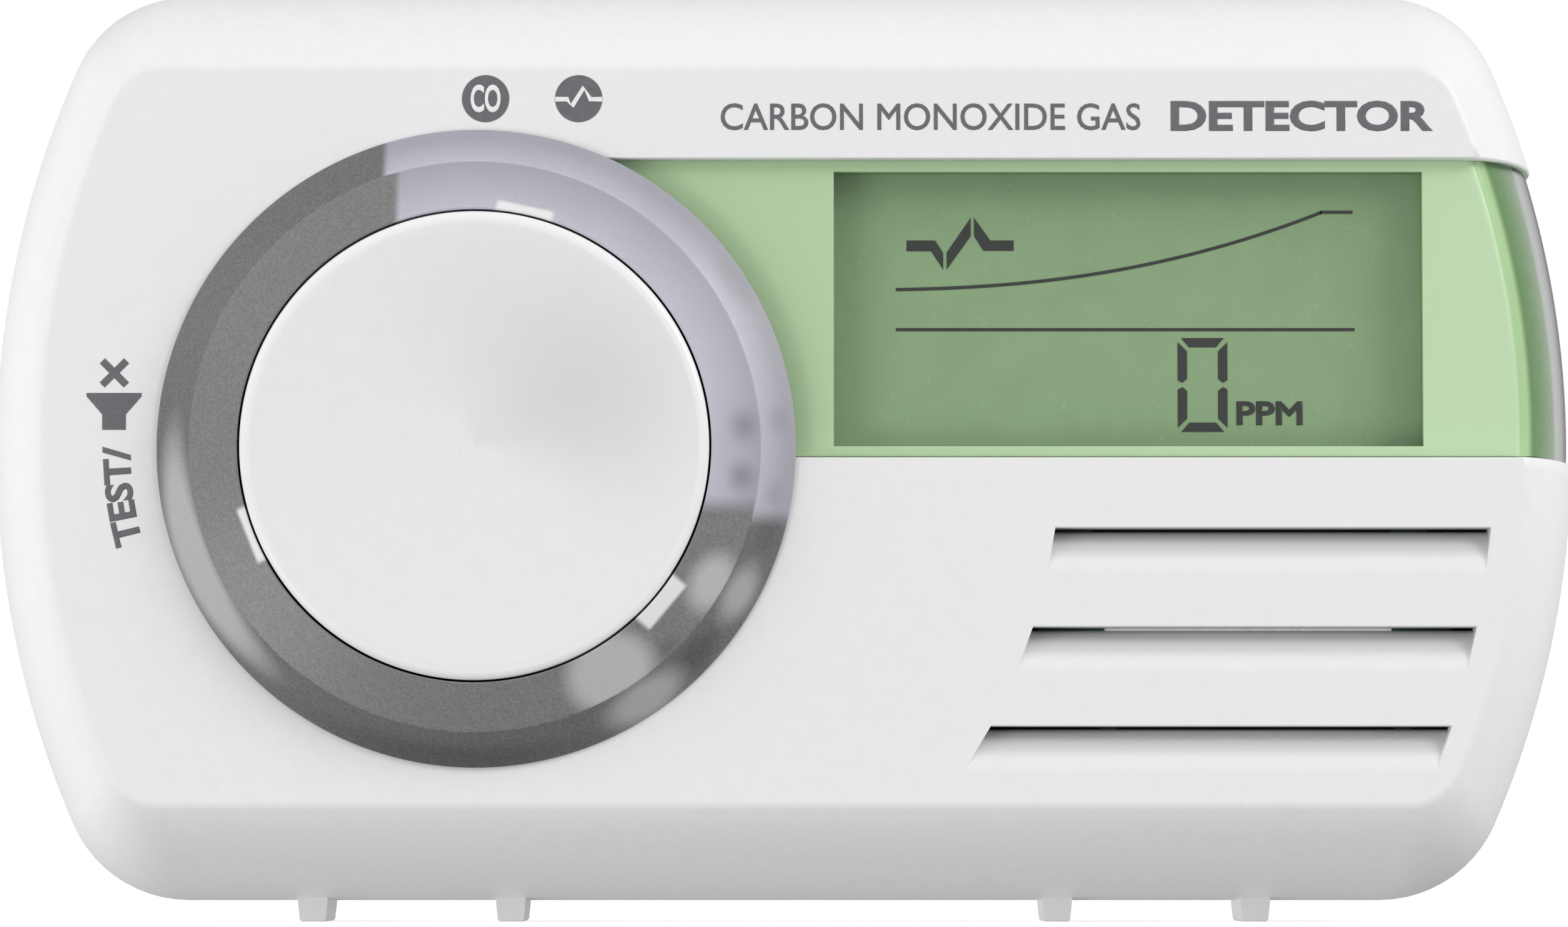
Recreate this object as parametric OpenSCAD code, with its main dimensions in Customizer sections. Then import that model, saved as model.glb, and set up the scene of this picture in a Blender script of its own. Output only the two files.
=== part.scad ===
// Carbon monoxide alarm: a drafted two-part casing with a round test button in a
// translucent ring, a wrap-round display window, louvred vents and the works inside.
// Frame: +Z up, the display faces -Y, the origin is on the floor under the body's middle.

/* [Body] */
// Width of the body at its widest
body_w = 120; // [110:1:160]
// Height of the body without its feet
body_h = 69; // [68:0.5:90]
// Depth from the rear plane to the flat front face
body_d = 36; // [34:0.5:50]
// Wall of both casings
wall = 2; // [1.6:0.1:2.4]
// Radius of the bowed left and right sides
side_r = 72; // [60:1:140]
// Radius of the four corners of the outline
corner_r = 9.4; // [8:0.1:14]
// Depth over which the front edge rolls back to the sides
roll_d = 16.5; // [10:0.5:20]
// Width of the rolled edge along the top and bottom
roll_z = 7.4; // [5:0.1:9]
// Width of the rolled edge along the left and right
roll_x = 5.2; // [4:0.1:8]
// Distance from the rear plane to the seam between the casings
rear_d = 11; // [9:0.5:14]
// Radius of the rear edge
rear_edge_r = 3; // [1:0.25:3.5]
// Taper of each casing towards the seam or the rear plane
draft = 0.3; // [0:0.05:0.6]

/* [Feet] */
// Height of the feet below the body
foot_h = 1.6; // [1:0.1:4]
// Width of a foot at the floor
foot_w = 2; // [1.5:0.1:5]
// Depth of a foot at the floor
foot_d = 11.5; // [6:0.5:12]
// Distance between the two inner feet
inner_feet = 41.4; // [30:0.1:60]
// Distance between the two outer feet
outer_feet = 71.4; // [62:0.1:90]

/* [Test button] */
// Distance of the button's axis from the left side of the body
ring_from_left = 37.2; // [36:0.1:50]
// Distance of the button's axis below the middle of the body
ring_drop = 1; // [0:0.1:3]
// Outer diameter of the ring
ring_od = 47.35; // [44:0.05:52]
// Diameter of the edge between the ring's two slopes
ring_mid_d = 42.2; // [40:0.1:44]
// Height of that edge above the front face
ring_mid_h = 2.4; // [1.5:0.1:3]
// Height of the ring's inner edge above the front face
ring_h = 3.7; // [3:0.1:3.9]
// Diameter of the test button
button_d = 34.6; // [30:0.1:35]
// Height of the button's rim above the front face
button_h = 4; // [3:0.1:6]
// Depth of the dish in the button's face
dish_d = 0.8; // [0.3:0.1:1.5]
// Travel of the button when it is pressed
button_travel = 0.8; // [0.3:0.1:1]

/* [Display] */
// Height of the window opening
window_h = 22.2; // [18:0.1:24]
// Distance of the window opening's middle above the middle of the body
window_rise = 9.45; // [8:0.05:12]
// Thickness of the clear window
window_t = 1; // [0.8:0.1:1.2]
// Depth of the window's surface below the casing's
window_inset = 0.4; // [0.2:0.05:0.5]
// Width of the viewing opening in the green bezel
view_w = 43.8; // [30:0.1:46]
// Height of the viewing opening
view_h = 20.5; // [14:0.1:20.6]
// Distance of the viewing opening from the right side of the body
view_from_right = 12.5; // [12:0.1:20]
// Thickness of the liquid crystal panel
lcd_t = 1.8; // [1.4:0.1:2.2]

/* [Vents] */
// Height of each vent
vent_h = 3.4; // [2.5:0.1:4]
// Distance from one vent to the next
vent_pitch = 7.35; // [6.5:0.05:9]
// Distance of the middle vent's middle below the middle of the body
vent_drop = 15.95; // [15:0.05:20]
// Distance of the vents' left ends from the button's axis
vent_left_r = 43.3; // [40:0.1:50]
// Distance of the vents' right ends from the side of the body
vent_margin = 7.3; // [6:0.1:10]
// Height of the gap that air passes through
vent_gap = 0.2; // [0.1:0.05:1]
// Depth that the scoop reaches below the front face
vent_d = 3.4; // [2:0.1:3.4]

/* [Board and cell] */
// Thickness of the circuit board
board_t = 1.6; // [1:0.1:2]
// Depth of the board's front face below the front face of the body
board_depth = 11; // [10.5:0.1:13]
// Gap between the board's edge and the casing's wall
board_gap = 2.5; // [2:0.1:6]
// Diameter of the lithium cell
cell_d = 17; // [14:0.1:17.5]
// Length of the lithium cell
cell_l = 45; // [30:0.5:46]
// Diameter of the sounder's chamber
sounder_d = 27; // [24:0.5:28]
// Diameter of the piezo disc
piezo_d = 23; // [18:0.5:24]
// Diameter of the gas sensor cell
sensor_d = 14; // [10:0.5:15]

/* [Fixings] */
// Distance between the two keyholes
keyhole_spacing = 60; // [50:1:66]
// Radius of a keyhole's round end
keyhole_r = 4.25; // [3.5:0.05:5]
// Radius of a keyhole's slot
keyhole_slot_r = 2.2; // [1.5:0.05:2.8]
// Travel of the hung screw up the slot
keyhole_travel = 7; // [5:0.5:8]
// Radius of the pilot hole for a case screw
case_pilot_r = 1.1; // [0.9:0.05:1.4]
// Radius of a case screw's head
case_head_r = 2.7; // [2.2:0.1:3]
// Travel of the activation slider
slider_travel = 3; // [2:0.1:4]

/* [Hidden] */
$fn = 64;

// Fits
fit = 0.1;            // clearance between pieces that are glued or clipped together
slide_fit = 0.3;      // clearance round the button
touch = 0.05;         // gap between a piece that pushes and what it pushes

// Planes across the depth
total_d = body_d + button_h;
rear_y = total_d / 2;
face_y = rear_y - body_d;
seam_y = rear_y - rear_d;
board_y = face_y + board_depth;
board_back = board_y + board_t;
inner_back = rear_y - wall;
mid_z = foot_h + body_h / 2;
half_w = body_w / 2;
half_h = body_h / 2;

// Edge roll: a small arc at the front, then a long one, stretched in depth
crease_r = 2;
crease_a = 20;
roll_r = (roll_z - crease_r * sin(crease_a)) / (1 - sin(crease_a));
roll_k = roll_d / (crease_r * (1 - cos(crease_a)) + roll_r * cos(crease_a));
corner_share = 0.8;   // how much of the inset the corner's radius loses
roll_steps = 9;
roll_angles = [for (i = [0:roll_steps]) crease_a + (90 - crease_a) * i / roll_steps];

// Key places
ring_x = ring_from_left - half_w;
ring_z = mid_z - ring_drop;
ring_at = [ring_x, ring_z];
bore_r = 20;          // hole in the casing for the ring's sleeve
ring_land = 2.2;      // width of casing left round that hole beside the window
sleeve_d = 3.5;       // how far the ring's sleeve goes below the front face
window_z = mid_z + window_rise;
window_back = 4;      // how far behind the widest point the window ends
bezel_t = 1.4;
bezel_flange = 1.5;
view_x = half_w - view_from_right - view_w / 2;
widest_y = face_y + roll_d;
window_end = widest_y + window_back;
bezel_s = window_inset + window_t + fit;
flange_s = wall + fit;
bezel_back = bezel_s + bezel_t;

// Case screws, which stand inside the rear casing's tongue in the corners, and board screws
tongue_s = wall + 0.15;
tongue_t = 1.2;
boss_r = 3.2;
post_a = 27;
post_gap = 0.15;
side_turn = asin((half_h - corner_r) / (side_r - corner_r));
post_reach = corner_r - draft - tongue_s - tongue_t - boss_r - post_gap;
post_x = half_w - side_r + (side_r - corner_r) * cos(side_turn) + post_reach * cos(post_a);
post_z = half_h - corner_r + post_reach * sin(post_a);
case_posts = [for (x = [-1, 1], z = [-1, 1]) [x * post_x, mid_z + z * post_z]];
board_boss_r = 2.5;
board_pilot_r = 0.9;
board_hole_r = 1.2;
board_bosses = [[-half_w + 13, ring_z - 13], [-half_w + 13, ring_z + 16],
    [5, mid_z - half_h + 11], [view_x + 10, mid_z + half_h - 9]];

// Vents
vent_zs = [for (i = [-1:1]) mid_z - vent_drop - i * vent_pitch];
scoop_rise = vent_h - vent_gap;
scoop_a = 2 * atan(vent_d / scoop_rise);
scoop_r = scoop_rise / sin(scoop_a);
blade_t = 1.2;
vent_mid_x = half_w - 25.4;

// Liquid crystal display stack
lcd_edge = 1.7;       // how far the glass reaches past the viewing opening
lcd_y = face_y + bezel_back + 0.8;
lcd_frame_wall = 0.8;
backlight_t = 1.2;
lcd_w = view_w + 2 * lcd_edge;
lcd_h = view_h + 3;
frame_w = lcd_w + 2 * lcd_frame_wall + 2 * fit;
frame_h = lcd_h + 2 * lcd_frame_wall + 2 * fit;

// Sensor
shroud_w = 21.3;
shroud_h = 10;
sensor_board_t = 1;
sensor_board_y = face_y + 5.6;
shroud_t = sensor_board_y - face_y - vent_d - fit;
sensor_t = 4;
sensor_z = vent_zs[1] + 1.5;

// Sounder, which stands beside the lower right case post
sounder_gap = 0.14;
sounder_z = vent_zs[1] + 0.6;
sounder_x = post_x
    - sqrt(pow(sounder_d / 2 + boss_r + sounder_gap, 2) - pow(sounder_z - mid_z + post_z, 2));
sounder_depth = 8;
sounder_wall = 1.4;
piezo_t = 0.3;

// Lithium cell
cell_x = -half_w + 45;
cell_z = mid_z - half_h + 4 + 9.5;
cell_y = inner_back - 0.6 - cell_d / 2;
rib_t = 1.6;

// Activation switch
act_x = -2;
act_z = mid_z + half_h - 12.5;
knob_w = 3;
knob_h = 3.6;
slot_gap = 0.4;
slider_plate_t = 1.4;
slider_y = inner_back - 0.2 - slider_plate_t;
act_switch_h = 4;

// Keyholes
keyhole_z = mid_z + 16;
keyhole_depth = 5.5;

// ---- Helpers ----

// A shape drawn in x and z, standing from y0 to y1
module along_y(y0, y1) {
    translate([0, y1, 0]) rotate([90, 0, 0]) linear_extrude(y1 - y0) children();
}

// A shape drawn in y and z, standing from x0 to x1
module along_x(x0, x1) {
    translate([x0, 0, 0]) rotate([90, 0, 90]) linear_extrude(x1 - x0) children();
}

// A rod along y with its axis at p = [x, z]
module rod(p, r, y0, y1) {
    along_y(y0, y1) translate(p) circle(r);
}

// A profile of [radius, y] points turned about the axis at p = [x, z]
module turned(p, points) {
    translate([p[0], 0, p[1]]) rotate([90, 0, 0]) rotate_extrude()
        polygon([for (q = points) [q[0], -q[1]]]);
}

// A rectangle in x and z with round corners, centred on p
module round_rect(p, w, h, r) {
    translate(p) union() {
        square([w - 2 * r, h], center = true);
        square([w, h - 2 * r], center = true);
        for (x = [-1, 1], z = [-1, 1])
            translate([x * (w / 2 - r), z * (h / 2 - r)]) circle(r);
    }
}

// A box centred on p = [x, z], from y0 to y1
module plate(p, w, h, y0, y1) {
    translate([p[0] - w / 2, y0, p[1] - h / 2]) cube([w, y1 - y0, h]);
}

// ---- Outline of the body ----

// One quarter of the outline: the bowed side, then the corner. The side always turns by
// the same angle, so that the edges of nested outlines stay parallel
side_steps = 4;
corner_steps = 4;
function quarter(w, h, rc) =
    let (b = side_turn, rs = rc + (h - rc) / sin(b), cx = w - rs + (rs - rc) * cos(b))
    concat(
        [for (i = [0:side_steps]) [w - rs + rs * cos(b * i / side_steps), rs * sin(b * i / side_steps)]],
        [for (i = [1:corner_steps]) let (a = b + (90 - b) * i / corner_steps)
            [cx + rc * cos(a), h - rc + rc * sin(a)]]);
function outline(w, h, rc) =
    let (q = quarter(w, h, rc), n = len(q))
    concat(
        q,
        [for (i = [n - 1:-1:0]) [-q[i][0], q[i][1]]],
        [for (i = [1:n - 1]) [-q[i][0], -q[i][1]]],
        [for (i = [n - 1:-1:1]) [q[i][0], -q[i][1]]]);

// A ring of a casing: s is the distance inwards from its outer surface
function body_ring(y, inset, in) = let (
        w = half_w - inset * roll_x / roll_z - in,
        h = half_h - inset - in,
        rc = max(0.8, corner_r - inset * corner_share - in))
    [for (p = outline(w, h, rc)) [p[0], y, mid_z + p[1]]];

// Inset, inwards shift and depth of the rolled edge at angle a
function roll_norm(a) = sqrt(pow(roll_k * sin(a), 2) + pow(cos(a), 2));
function roll_point(a, s) = [
    roll_r * (1 - sin(a)),
    s * roll_k * sin(a) / roll_norm(a),
    roll_k * (crease_r * (1 - cos(crease_a)) + roll_r * (cos(crease_a) - cos(a)))
        + s * cos(a) / roll_norm(a)];
// The first ring lies where the roll passes the flat's depth
function front_rings(s, y_end) =
    let (q = [for (a = roll_angles) roll_point(a, s)],
        j = min([for (i = [0:len(q) - 1]) if (q[i][2] > s + 0.05) i]),
        first = j == 0 ? [roll_z, 0, s]
            : q[j - 1] + (q[j] - q[j - 1]) * (s - q[j - 1][2]) / (q[j][2] - q[j - 1][2]))
    concat(
        [body_ring(face_y + s, first[0], first[1])],
        [for (i = [j:len(q) - 1]) body_ring(face_y + q[i][2], q[i][0], q[i][1])],
        [body_ring(y_end, 0, s + draft * (y_end - widest_y) / (seam_y - widest_y))]);
function rear_rings(s, y_start) = let (r = rear_edge_r) concat(
    [body_ring(y_start, 0, s + draft * (y_start - widest_y) / (seam_y - widest_y))],
    [for (a = [0:18:90])
        body_ring(rear_y - r + (r - s) * sin(a), 0, 2 * draft + r - (r - s) * cos(a))]);

// A closed solid through rings that all have the same number of points
module skin(rings) {
    n = len(rings[0]);
    m = len(rings);
    polyhedron(
        points = [for (r = rings) each r],
        faces = concat(
            [[for (i = [n - 1:-1:0]) i]],
            [for (k = [0:m - 2], i = [0:n - 1]) let (j = (i + 1) % n)
                each [[k * n + i, (k + 1) * n + j, (k + 1) * n + i],
                    [k * n + i, k * n + j, (k + 1) * n + j]]],
            [[for (i = [0:n - 1]) (m - 1) * n + i]]));
}

module front_skin(s, y_end) {
    skin(front_rings(s, y_end));
}

// What lies between two depths below the front casing's outer surface
module front_layer(s0, s1, y_end) {
    difference() {
        front_skin(s0, y_end);
        front_skin(s1, y_end + 1);
    }
}

// The window opening, seen from the front: a band from the ring to the right side
module window_area(grow) {
    difference() {
        translate([ring_x, window_z - window_h / 2 - grow])
            square([half_w - ring_x + 5, window_h + 2 * grow]);
        translate(ring_at) circle(bore_r + ring_land - grow);
    }
}

// One vent, seen from the front: between an arc round the button and one along the side
module vent_area(z, h) {
    intersection() {
        difference() {
            translate([ring_x, z - vent_h / 2]) square([half_w - ring_x, h]);
            translate(ring_at) circle(vent_left_r);
        }
        translate([half_w - side_r - vent_margin, mid_z]) circle(side_r);
    }
}

// ---- Casings ----

module feet() {
    for (side = [-1, 1], gap = [inner_feet, outer_feet])
        along_y(seam_y - foot_d - 0.5, seam_y - 0.5) translate([side * gap / 2, 0])
            polygon([[-foot_w / 2, 0], [foot_w / 2, 0],
                [foot_w / 2 + 0.2, foot_h + wall / 2], [-foot_w / 2 - 0.2, foot_h + wall / 2]]);
}

module vent_blade(z) {
    z0 = z - vent_h / 2;
    intersection() {
        along_y(face_y, face_y + scoop_r + 1) vent_area(z, vent_h);
        along_x(ring_x, half_w) intersection() {
            translate([face_y + scoop_r, z0]) difference() {
                circle(scoop_r);
                circle(scoop_r - blade_t);
            }
            translate([face_y, z0]) square([vent_d, scoop_rise]);
        }
    }
}

module front_casing() color([0.93, 0.93, 0.93]) {
    difference() {
        union() {
            front_layer(0, wall, seam_y);
            feet();
            intersection() {
                front_skin(wall / 2, seam_y + 1);
                union() {
                    for (p = case_posts) rod(p, boss_r, face_y, seam_y - 0.2);
                    for (p = board_bosses) rod(p, board_boss_r, face_y, board_y);
                }
            }
        }
        along_y(face_y - 5, window_end) window_area(0);
        rod(ring_at, bore_r, face_y - 1, face_y + wall + 1);
        for (z = vent_zs) along_y(face_y - 1, face_y + wall + 1) vent_area(z, vent_h);
        for (p = case_posts) rod(p, case_pilot_r, seam_y - 14, seam_y);
        for (p = board_bosses) rod(p, board_pilot_r, board_y - 7, board_y + 1);
    }
    for (z = vent_zs) vent_blade(z);
}

module keyhole_area(grow) {
    for (x = [-1, 1]) translate([x * keyhole_spacing / 2, keyhole_z]) {
        circle(keyhole_r + grow);
        translate([0, keyhole_travel]) circle(keyhole_slot_r + grow);
        translate([-keyhole_slot_r - grow, 0]) square([2 * (keyhole_slot_r + grow), keyhole_travel]);
    }
}

module keyhole_pocket(grow, y0) {
    for (x = [-1, 1])
        plate([x * keyhole_spacing / 2, keyhole_z + keyhole_travel / 2],
            2 * keyhole_r + 2 + 2 * grow, keyhole_travel + 2 * keyhole_r + 2 + 2 * grow,
            y0, inner_back);
}

module rear_casing() color([0.92, 0.92, 0.92]) {
    post_hole_r = case_pilot_r + 0.5;
    difference() {
        union() {
            difference() {
                skin(rear_rings(0, seam_y + 0.1));
                skin(rear_rings(wall, seam_y - 1));
            }
            // tongue that enters the front casing, on a ledge inside the rear wall
            difference() {
                union() {
                    skin([for (y = [seam_y - 2, seam_y + 2]) body_ring(y, 0, draft + tongue_s)]);
                    skin([for (y = [seam_y + 0.1, seam_y + 2]) body_ring(y, 0, draft + wall / 2)]);
                }
                skin([for (y = [seam_y - 3, seam_y + 3]) body_ring(y, 0, draft + tongue_s + tongue_t)]);
            }
            for (p = case_posts) rod(p, case_head_r + 1.5, seam_y + 0.1, rear_y - 0.5);
            // pockets that hold the wall screws' heads
            keyhole_pocket(1.2, inner_back - keyhole_depth - 1.2);
            // ribs that cradle the cell
            for (x = [-1, 1]) plate([cell_x + x * (cell_l / 2 - 8), cell_z], rib_t, cell_d + 2,
                cell_y, inner_back + 0.5);
            // guides beside the activation slider
            for (z = [-1, 1]) plate([act_x, act_z + z * (knob_h / 2 + 3.1)], 16, 1.2,
                slider_y - 1, inner_back + 0.5);
        }
        keyhole_pocket(0, inner_back - keyhole_depth);
        along_y(inner_back - 1, rear_y + 1) keyhole_area(0);
        for (p = case_posts) {
            rod(p, post_hole_r, seam_y - 1, rear_y + 1);
            rod(p, case_head_r + 0.3, seam_y + 5, rear_y + 1);
        }
        along_x(cell_x - cell_l / 2, cell_x + cell_l / 2)
            translate([cell_y, cell_z]) circle(cell_d / 2 + 0.3);
        // opening for the activation slider's knob
        plate([act_x - slider_travel / 2, act_z], slider_travel + knob_w + 2 * slot_gap,
            knob_h + 2 * slot_gap, inner_back - 1, rear_y + 1);
        along_y(rear_y - 0.4, rear_y + 1) round_rect(label_at, label_w + 0.6, label_h + 0.6, 1.5);
    }
}

// ---- Display ----

module display_window() color([0.9, 0.95, 0.9, 0.35]) {
    intersection() {
        front_layer(window_inset, window_inset + window_t, seam_y);
        along_y(face_y - 5, window_end - fit) window_area(-fit);
    }
}

module display_bezel() color([0.66, 0.8, 0.58]) {
    difference() {
        union() {
            intersection() {
                front_layer(bezel_s, bezel_back, seam_y);
                along_y(face_y - 5, window_end - fit) window_area(-fit);
            }
            intersection() {
                front_layer(flange_s, bezel_back, seam_y);
                along_y(face_y - 5, window_end + bezel_flange) window_area(bezel_flange);
            }
        }
        plate([view_x, window_z], view_w, view_h, face_y - 5, face_y + bezel_back + 1);
    }
}

module lcd_frame() color([0.85, 0.85, 0.85]) {
    difference() {
        along_y(face_y + bezel_back + fit, board_y) round_rect([view_x, window_z], frame_w, frame_h, 1);
        plate([view_x, window_z], lcd_w + 2 * fit, lcd_h + 2 * fit, lcd_y - 0.1, board_y + 1);
        plate([view_x, window_z], view_w + 0.8, view_h + 0.4, face_y, lcd_y);
    }
}

module lcd_panel() color([0.55, 0.66, 0.5]) {
    half_t = lcd_t / 2;
    plate([view_x, window_z], lcd_w, lcd_h, lcd_y, lcd_y + half_t);
    plate([view_x, window_z], lcd_w, lcd_h - 5, lcd_y + half_t, lcd_y + lcd_t);
}

module lcd_backlight() color([0.75, 0.88, 0.66]) {
    y0 = lcd_y + lcd_t + fit;
    plate([view_x, window_z], lcd_w - 1, lcd_h - 6, y0, y0 + backlight_t);
    for (x = [-1, 1], z = [-1, 1])
        rod([view_x + x * (lcd_w / 2 - 3), window_z + z * (lcd_h / 2 - 6)], 1, y0 + backlight_t, board_y);
}

// Layered rubber strips that join the glass to the board
module contact_strips() color([0.25, 0.25, 0.28]) {
    for (z = [-1, 1])
        plate([view_x, window_z + z * (lcd_h / 2 - 1.1)], lcd_w - 3, 1.8,
            lcd_y + lcd_t / 2 + 0.02, board_y - 0.02);
}

// ---- Ring and button ----

lug_angles = [78, 202, 320];
lug_w = 4.6;
button_r = button_d / 2;
ring_bore_r = button_r + slide_fit;
sleeve_r = bore_r - 0.3;
lug_reach = 1.4;
lug_top = face_y + 1.2;
lug_t = 1.3;

module at_angle(a, p) {
    translate([p[0], 0, p[1]]) rotate([0, -a, 0]) children();
}

module indicator_ring() color([0.55, 0.55, 0.58, 0.7]) {
    skin_t = 1.6;
    difference() {
        turned(ring_at, [
            [ring_bore_r, face_y - ring_h], [ring_mid_d / 2, face_y - ring_mid_h],
            [ring_od / 2, face_y - 0.3], [ring_od / 2, face_y], [sleeve_r, face_y],
            [sleeve_r, face_y + sleeve_d], [ring_bore_r, face_y + sleeve_d]]);
        for (a = lug_angles) at_angle(a, ring_at)
            translate([ring_bore_r - 0.5, lug_top - 0.2, -lug_w / 2 - 0.3])
                cube([lug_reach + 0.9, sleeve_d, lug_w + 0.6]);
    }
    // snap hooks behind the casing's wall
    for (a = lug_angles) at_angle(a + 60, ring_at)
        translate([sleeve_r - 0.3, face_y + wall + 0.05, -2]) cube([0.9, 1, 4]);
}

// Clear guide that carries the lamps' light up under the ring
module light_guide() color([0.9, 0.92, 0.95, 0.5]) {
    y0 = face_y + sleeve_d + touch;
    guide_in = ring_bore_r + 1;
    intersection() {
        turned(ring_at, [[guide_in, y0], [bore_r + 1, y0], [bore_r + 1, y0 + 1.2], [guide_in, y0 + 1.2]]);
        translate([ring_x - 12, y0 - 1, ring_z + 8]) cube([26, 6, 16]);
    }
}

module test_button() color([0.93, 0.93, 0.93]) {
    top = face_y - button_h;
    cap_t = 1.6;
    rim = 0.5;
    skirt_t = 1.4;
    steps = 10;
    dish = [for (i = [0:steps]) let (r = (button_r - rim) * i / steps)
        [r, top + dish_d * (1 - pow(r / (button_r - rim), 2))]];
    turned(ring_at, concat(dish, [
        [button_r, top + rim], [button_r, face_y + sleeve_d - 0.6],
        [button_r - skirt_t, face_y + sleeve_d - 0.6], [button_r - skirt_t, top + cap_t + dish_d],
        [7.5, top + cap_t + dish_d], [7.5, top + cap_t + dish_d + 1.5],
        [6.3, top + cap_t + dish_d + 1.5], [6.3, top + cap_t + dish_d],
        [2.4, top + cap_t + dish_d], [2.4, plunger_y - touch], [0, plunger_y - touch]]));
    for (a = lug_angles) at_angle(a, ring_at)
        translate([button_r - 0.6, lug_top, -lug_w / 2]) cube([lug_reach + 0.6, lug_t, lug_w]);
}

switch_h = 3.6;
plunger_h = 1.6;
plunger_y = board_y - switch_h - plunger_h;
spring_r = 5.4;
spring_wire = 0.7;
spring_y0 = face_y - button_h + 1.6 + dish_d + spring_wire / 2 + 0.05;
spring_y1 = board_y - spring_wire / 2 - 0.05;
spring_turns = 6;

// The coil lies flat for a part of its first and last turns and climbs between them
coil_flat = 0.6;
function coil_climb(t) = min(1, max(0, (t - coil_flat) / (spring_turns - 2 * coil_flat)));

// Coil spring between the button's cap and the board
module button_spring() color([0.75, 0.75, 0.77]) {
    sides = 8;
    per_turn = 14;
    n = spring_turns * per_turn;
    rings = [for (i = [0:n]) let (t = i / per_turn, a = 360 * t,
            y = spring_y0 + (spring_y1 - spring_y0) * coil_climb(t))
        [for (k = [0:sides - 1]) let (b = 360 * k / sides,
                r = spring_r + spring_wire / 2 * cos(b))
            [ring_x + r * cos(a), y + spring_wire / 2 * sin(b), ring_z + r * sin(a)]]];
    skin(rings);
}

module test_switch() color([0.2, 0.2, 0.2]) {
    difference() {
        union() {
            plate(ring_at, 6, 6, board_y - switch_h + 0.3, board_y);
            rod(ring_at, 2.4, board_y - switch_h, board_y - switch_h + 0.5);
        }
        rod(ring_at, 1.8, board_y - switch_h - 1, board_y - switch_h + 1.2);
    }
}

module switch_plunger() color([0.1, 0.1, 0.1]) {
    rod(ring_at, 1.7, plunger_y, board_y - switch_h + 0.3);
}

// ---- Board ----

board_w = body_w - 2 * (wall + board_gap) - 11;
board_h = body_h - 2 * (wall + board_gap) - 5;
board_notch = 10;
lamp_r = (ring_bore_r + bore_r) / 2 + 0.3;
lamps = [[90, [0.9, 0.1, 0.1]], [72, [0.1, 0.8, 0.2]], [58, [0.95, 0.65, 0.1]]];
function lamp_at(i) = [ring_x + lamp_r * cos(lamps[i][0]), ring_z + lamp_r * sin(lamps[i][0])];
sensor_x0 = vent_mid_x - 15.7;
sensor_x1 = vent_mid_x + 15.3;
pin_rows = [sensor_x0 + 1.6, sensor_x1 - 1.6];

module main_board() color([0.2, 0.42, 0.25]) {
    difference() {
        plate([0, mid_z], board_w, board_h, board_y, board_back);
        for (x = [-1, 1], z = [-1, 1])
            plate([x * board_w / 2, mid_z + z * board_h / 2], 2 * (board_w / 2 - post_x + boss_r + 1),
                2 * (board_h / 2 - post_z + boss_r + 1), board_y - 1, board_back + 1);
        for (p = board_bosses) rod(p, board_hole_r, board_y - 1, board_back + 1);
        // slots that let the sounder be heard through the board
        for (x = [-1, 1]) plate([sounder_x + x * 9.6, sounder_z], 2.5, 10, board_y - 1, board_back + 1);
    }
}

module microcontroller() color([0.12, 0.12, 0.13]) {
    at = [ring_x - 4, ring_z + 8];
    plate(at, 10, 10, board_back + 0.15, board_back + 1.5);
    for (i = [-3.5:1:3.5], side = [-1, 1]) {
        plate([at[0] + i, at[1] + side * 5.5], 0.4, 1.1, board_back, board_back + 0.3);
        plate([at[0] + side * 5.5, at[1] + i], 1.1, 0.4, board_back, board_back + 0.3);
    }
}

module chip_parts() color([0.6, 0.5, 0.35]) {
    for (i = [0:4], j = [0:1])
        plate([ring_x + 9 + 3.4 * i, ring_z + 4 + 5 * j], 2, 1.25, board_back, board_back + 0.8);
    for (i = [0:3])
        plate([ring_x - 12 + 4 * i, ring_z - 5], 1.6, 0.8, board_back, board_back + 0.6);
}

module storage_capacitor() color([0.15, 0.2, 0.35]) {
    rod([ring_x + 12, ring_z - 3.5], 4, board_back, board_back + 11);
}

module boost_inductor() color([0.3, 0.3, 0.3]) {
    turned([ring_x + 22, ring_z - 3.5], [[0, board_back], [3.5, board_back], [3.5, board_back + 1],
        [2.2, board_back + 1], [2.2, board_back + 5], [3.5, board_back + 5], [3.5, board_back + 6],
        [0, board_back + 6]]);
}

// A lamp with a round dome, standing on the board under the ring
module lamp(i) {
    p = lamp_at(i);
    dome_y = board_y - 4.2;
    color(lamps[i][1]) {
        turned(p, concat([[0, board_y], [1.6, board_y], [1.6, board_y - 0.8], [1.35, board_y - 0.8]],
            [for (a = [0:15:90]) [1.35 * cos(a), dome_y + 1.35 - 1.35 * sin(a)]]));
    }
}

module red_led() lamp(0);
module green_led() lamp(1);
module amber_led() lamp(2);

// ---- Gas sensor ----

module sensor_board() color([0.25, 0.37, 0.25]) {
    y1 = sensor_board_y + sensor_board_t;
    w = sensor_x1 - sensor_x0;
    difference() {
        union() {
            plate([(sensor_x0 + sensor_x1) / 2, sensor_z], w, 12, sensor_board_y, y1);
            for (x = [-12.8, 12.2]) plate([vent_mid_x + x, sensor_z + 7], 2.6, 3.3,
                sensor_board_y, y1);
            for (x = [-10.4, 11.7]) plate([vent_mid_x + x, sensor_z - 7.1], 1.2, 2.6,
                sensor_board_y, y1);
        }
        rod([vent_mid_x, sensor_z], 4.5, sensor_board_y - 1, y1 + 1);
    }
}

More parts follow.
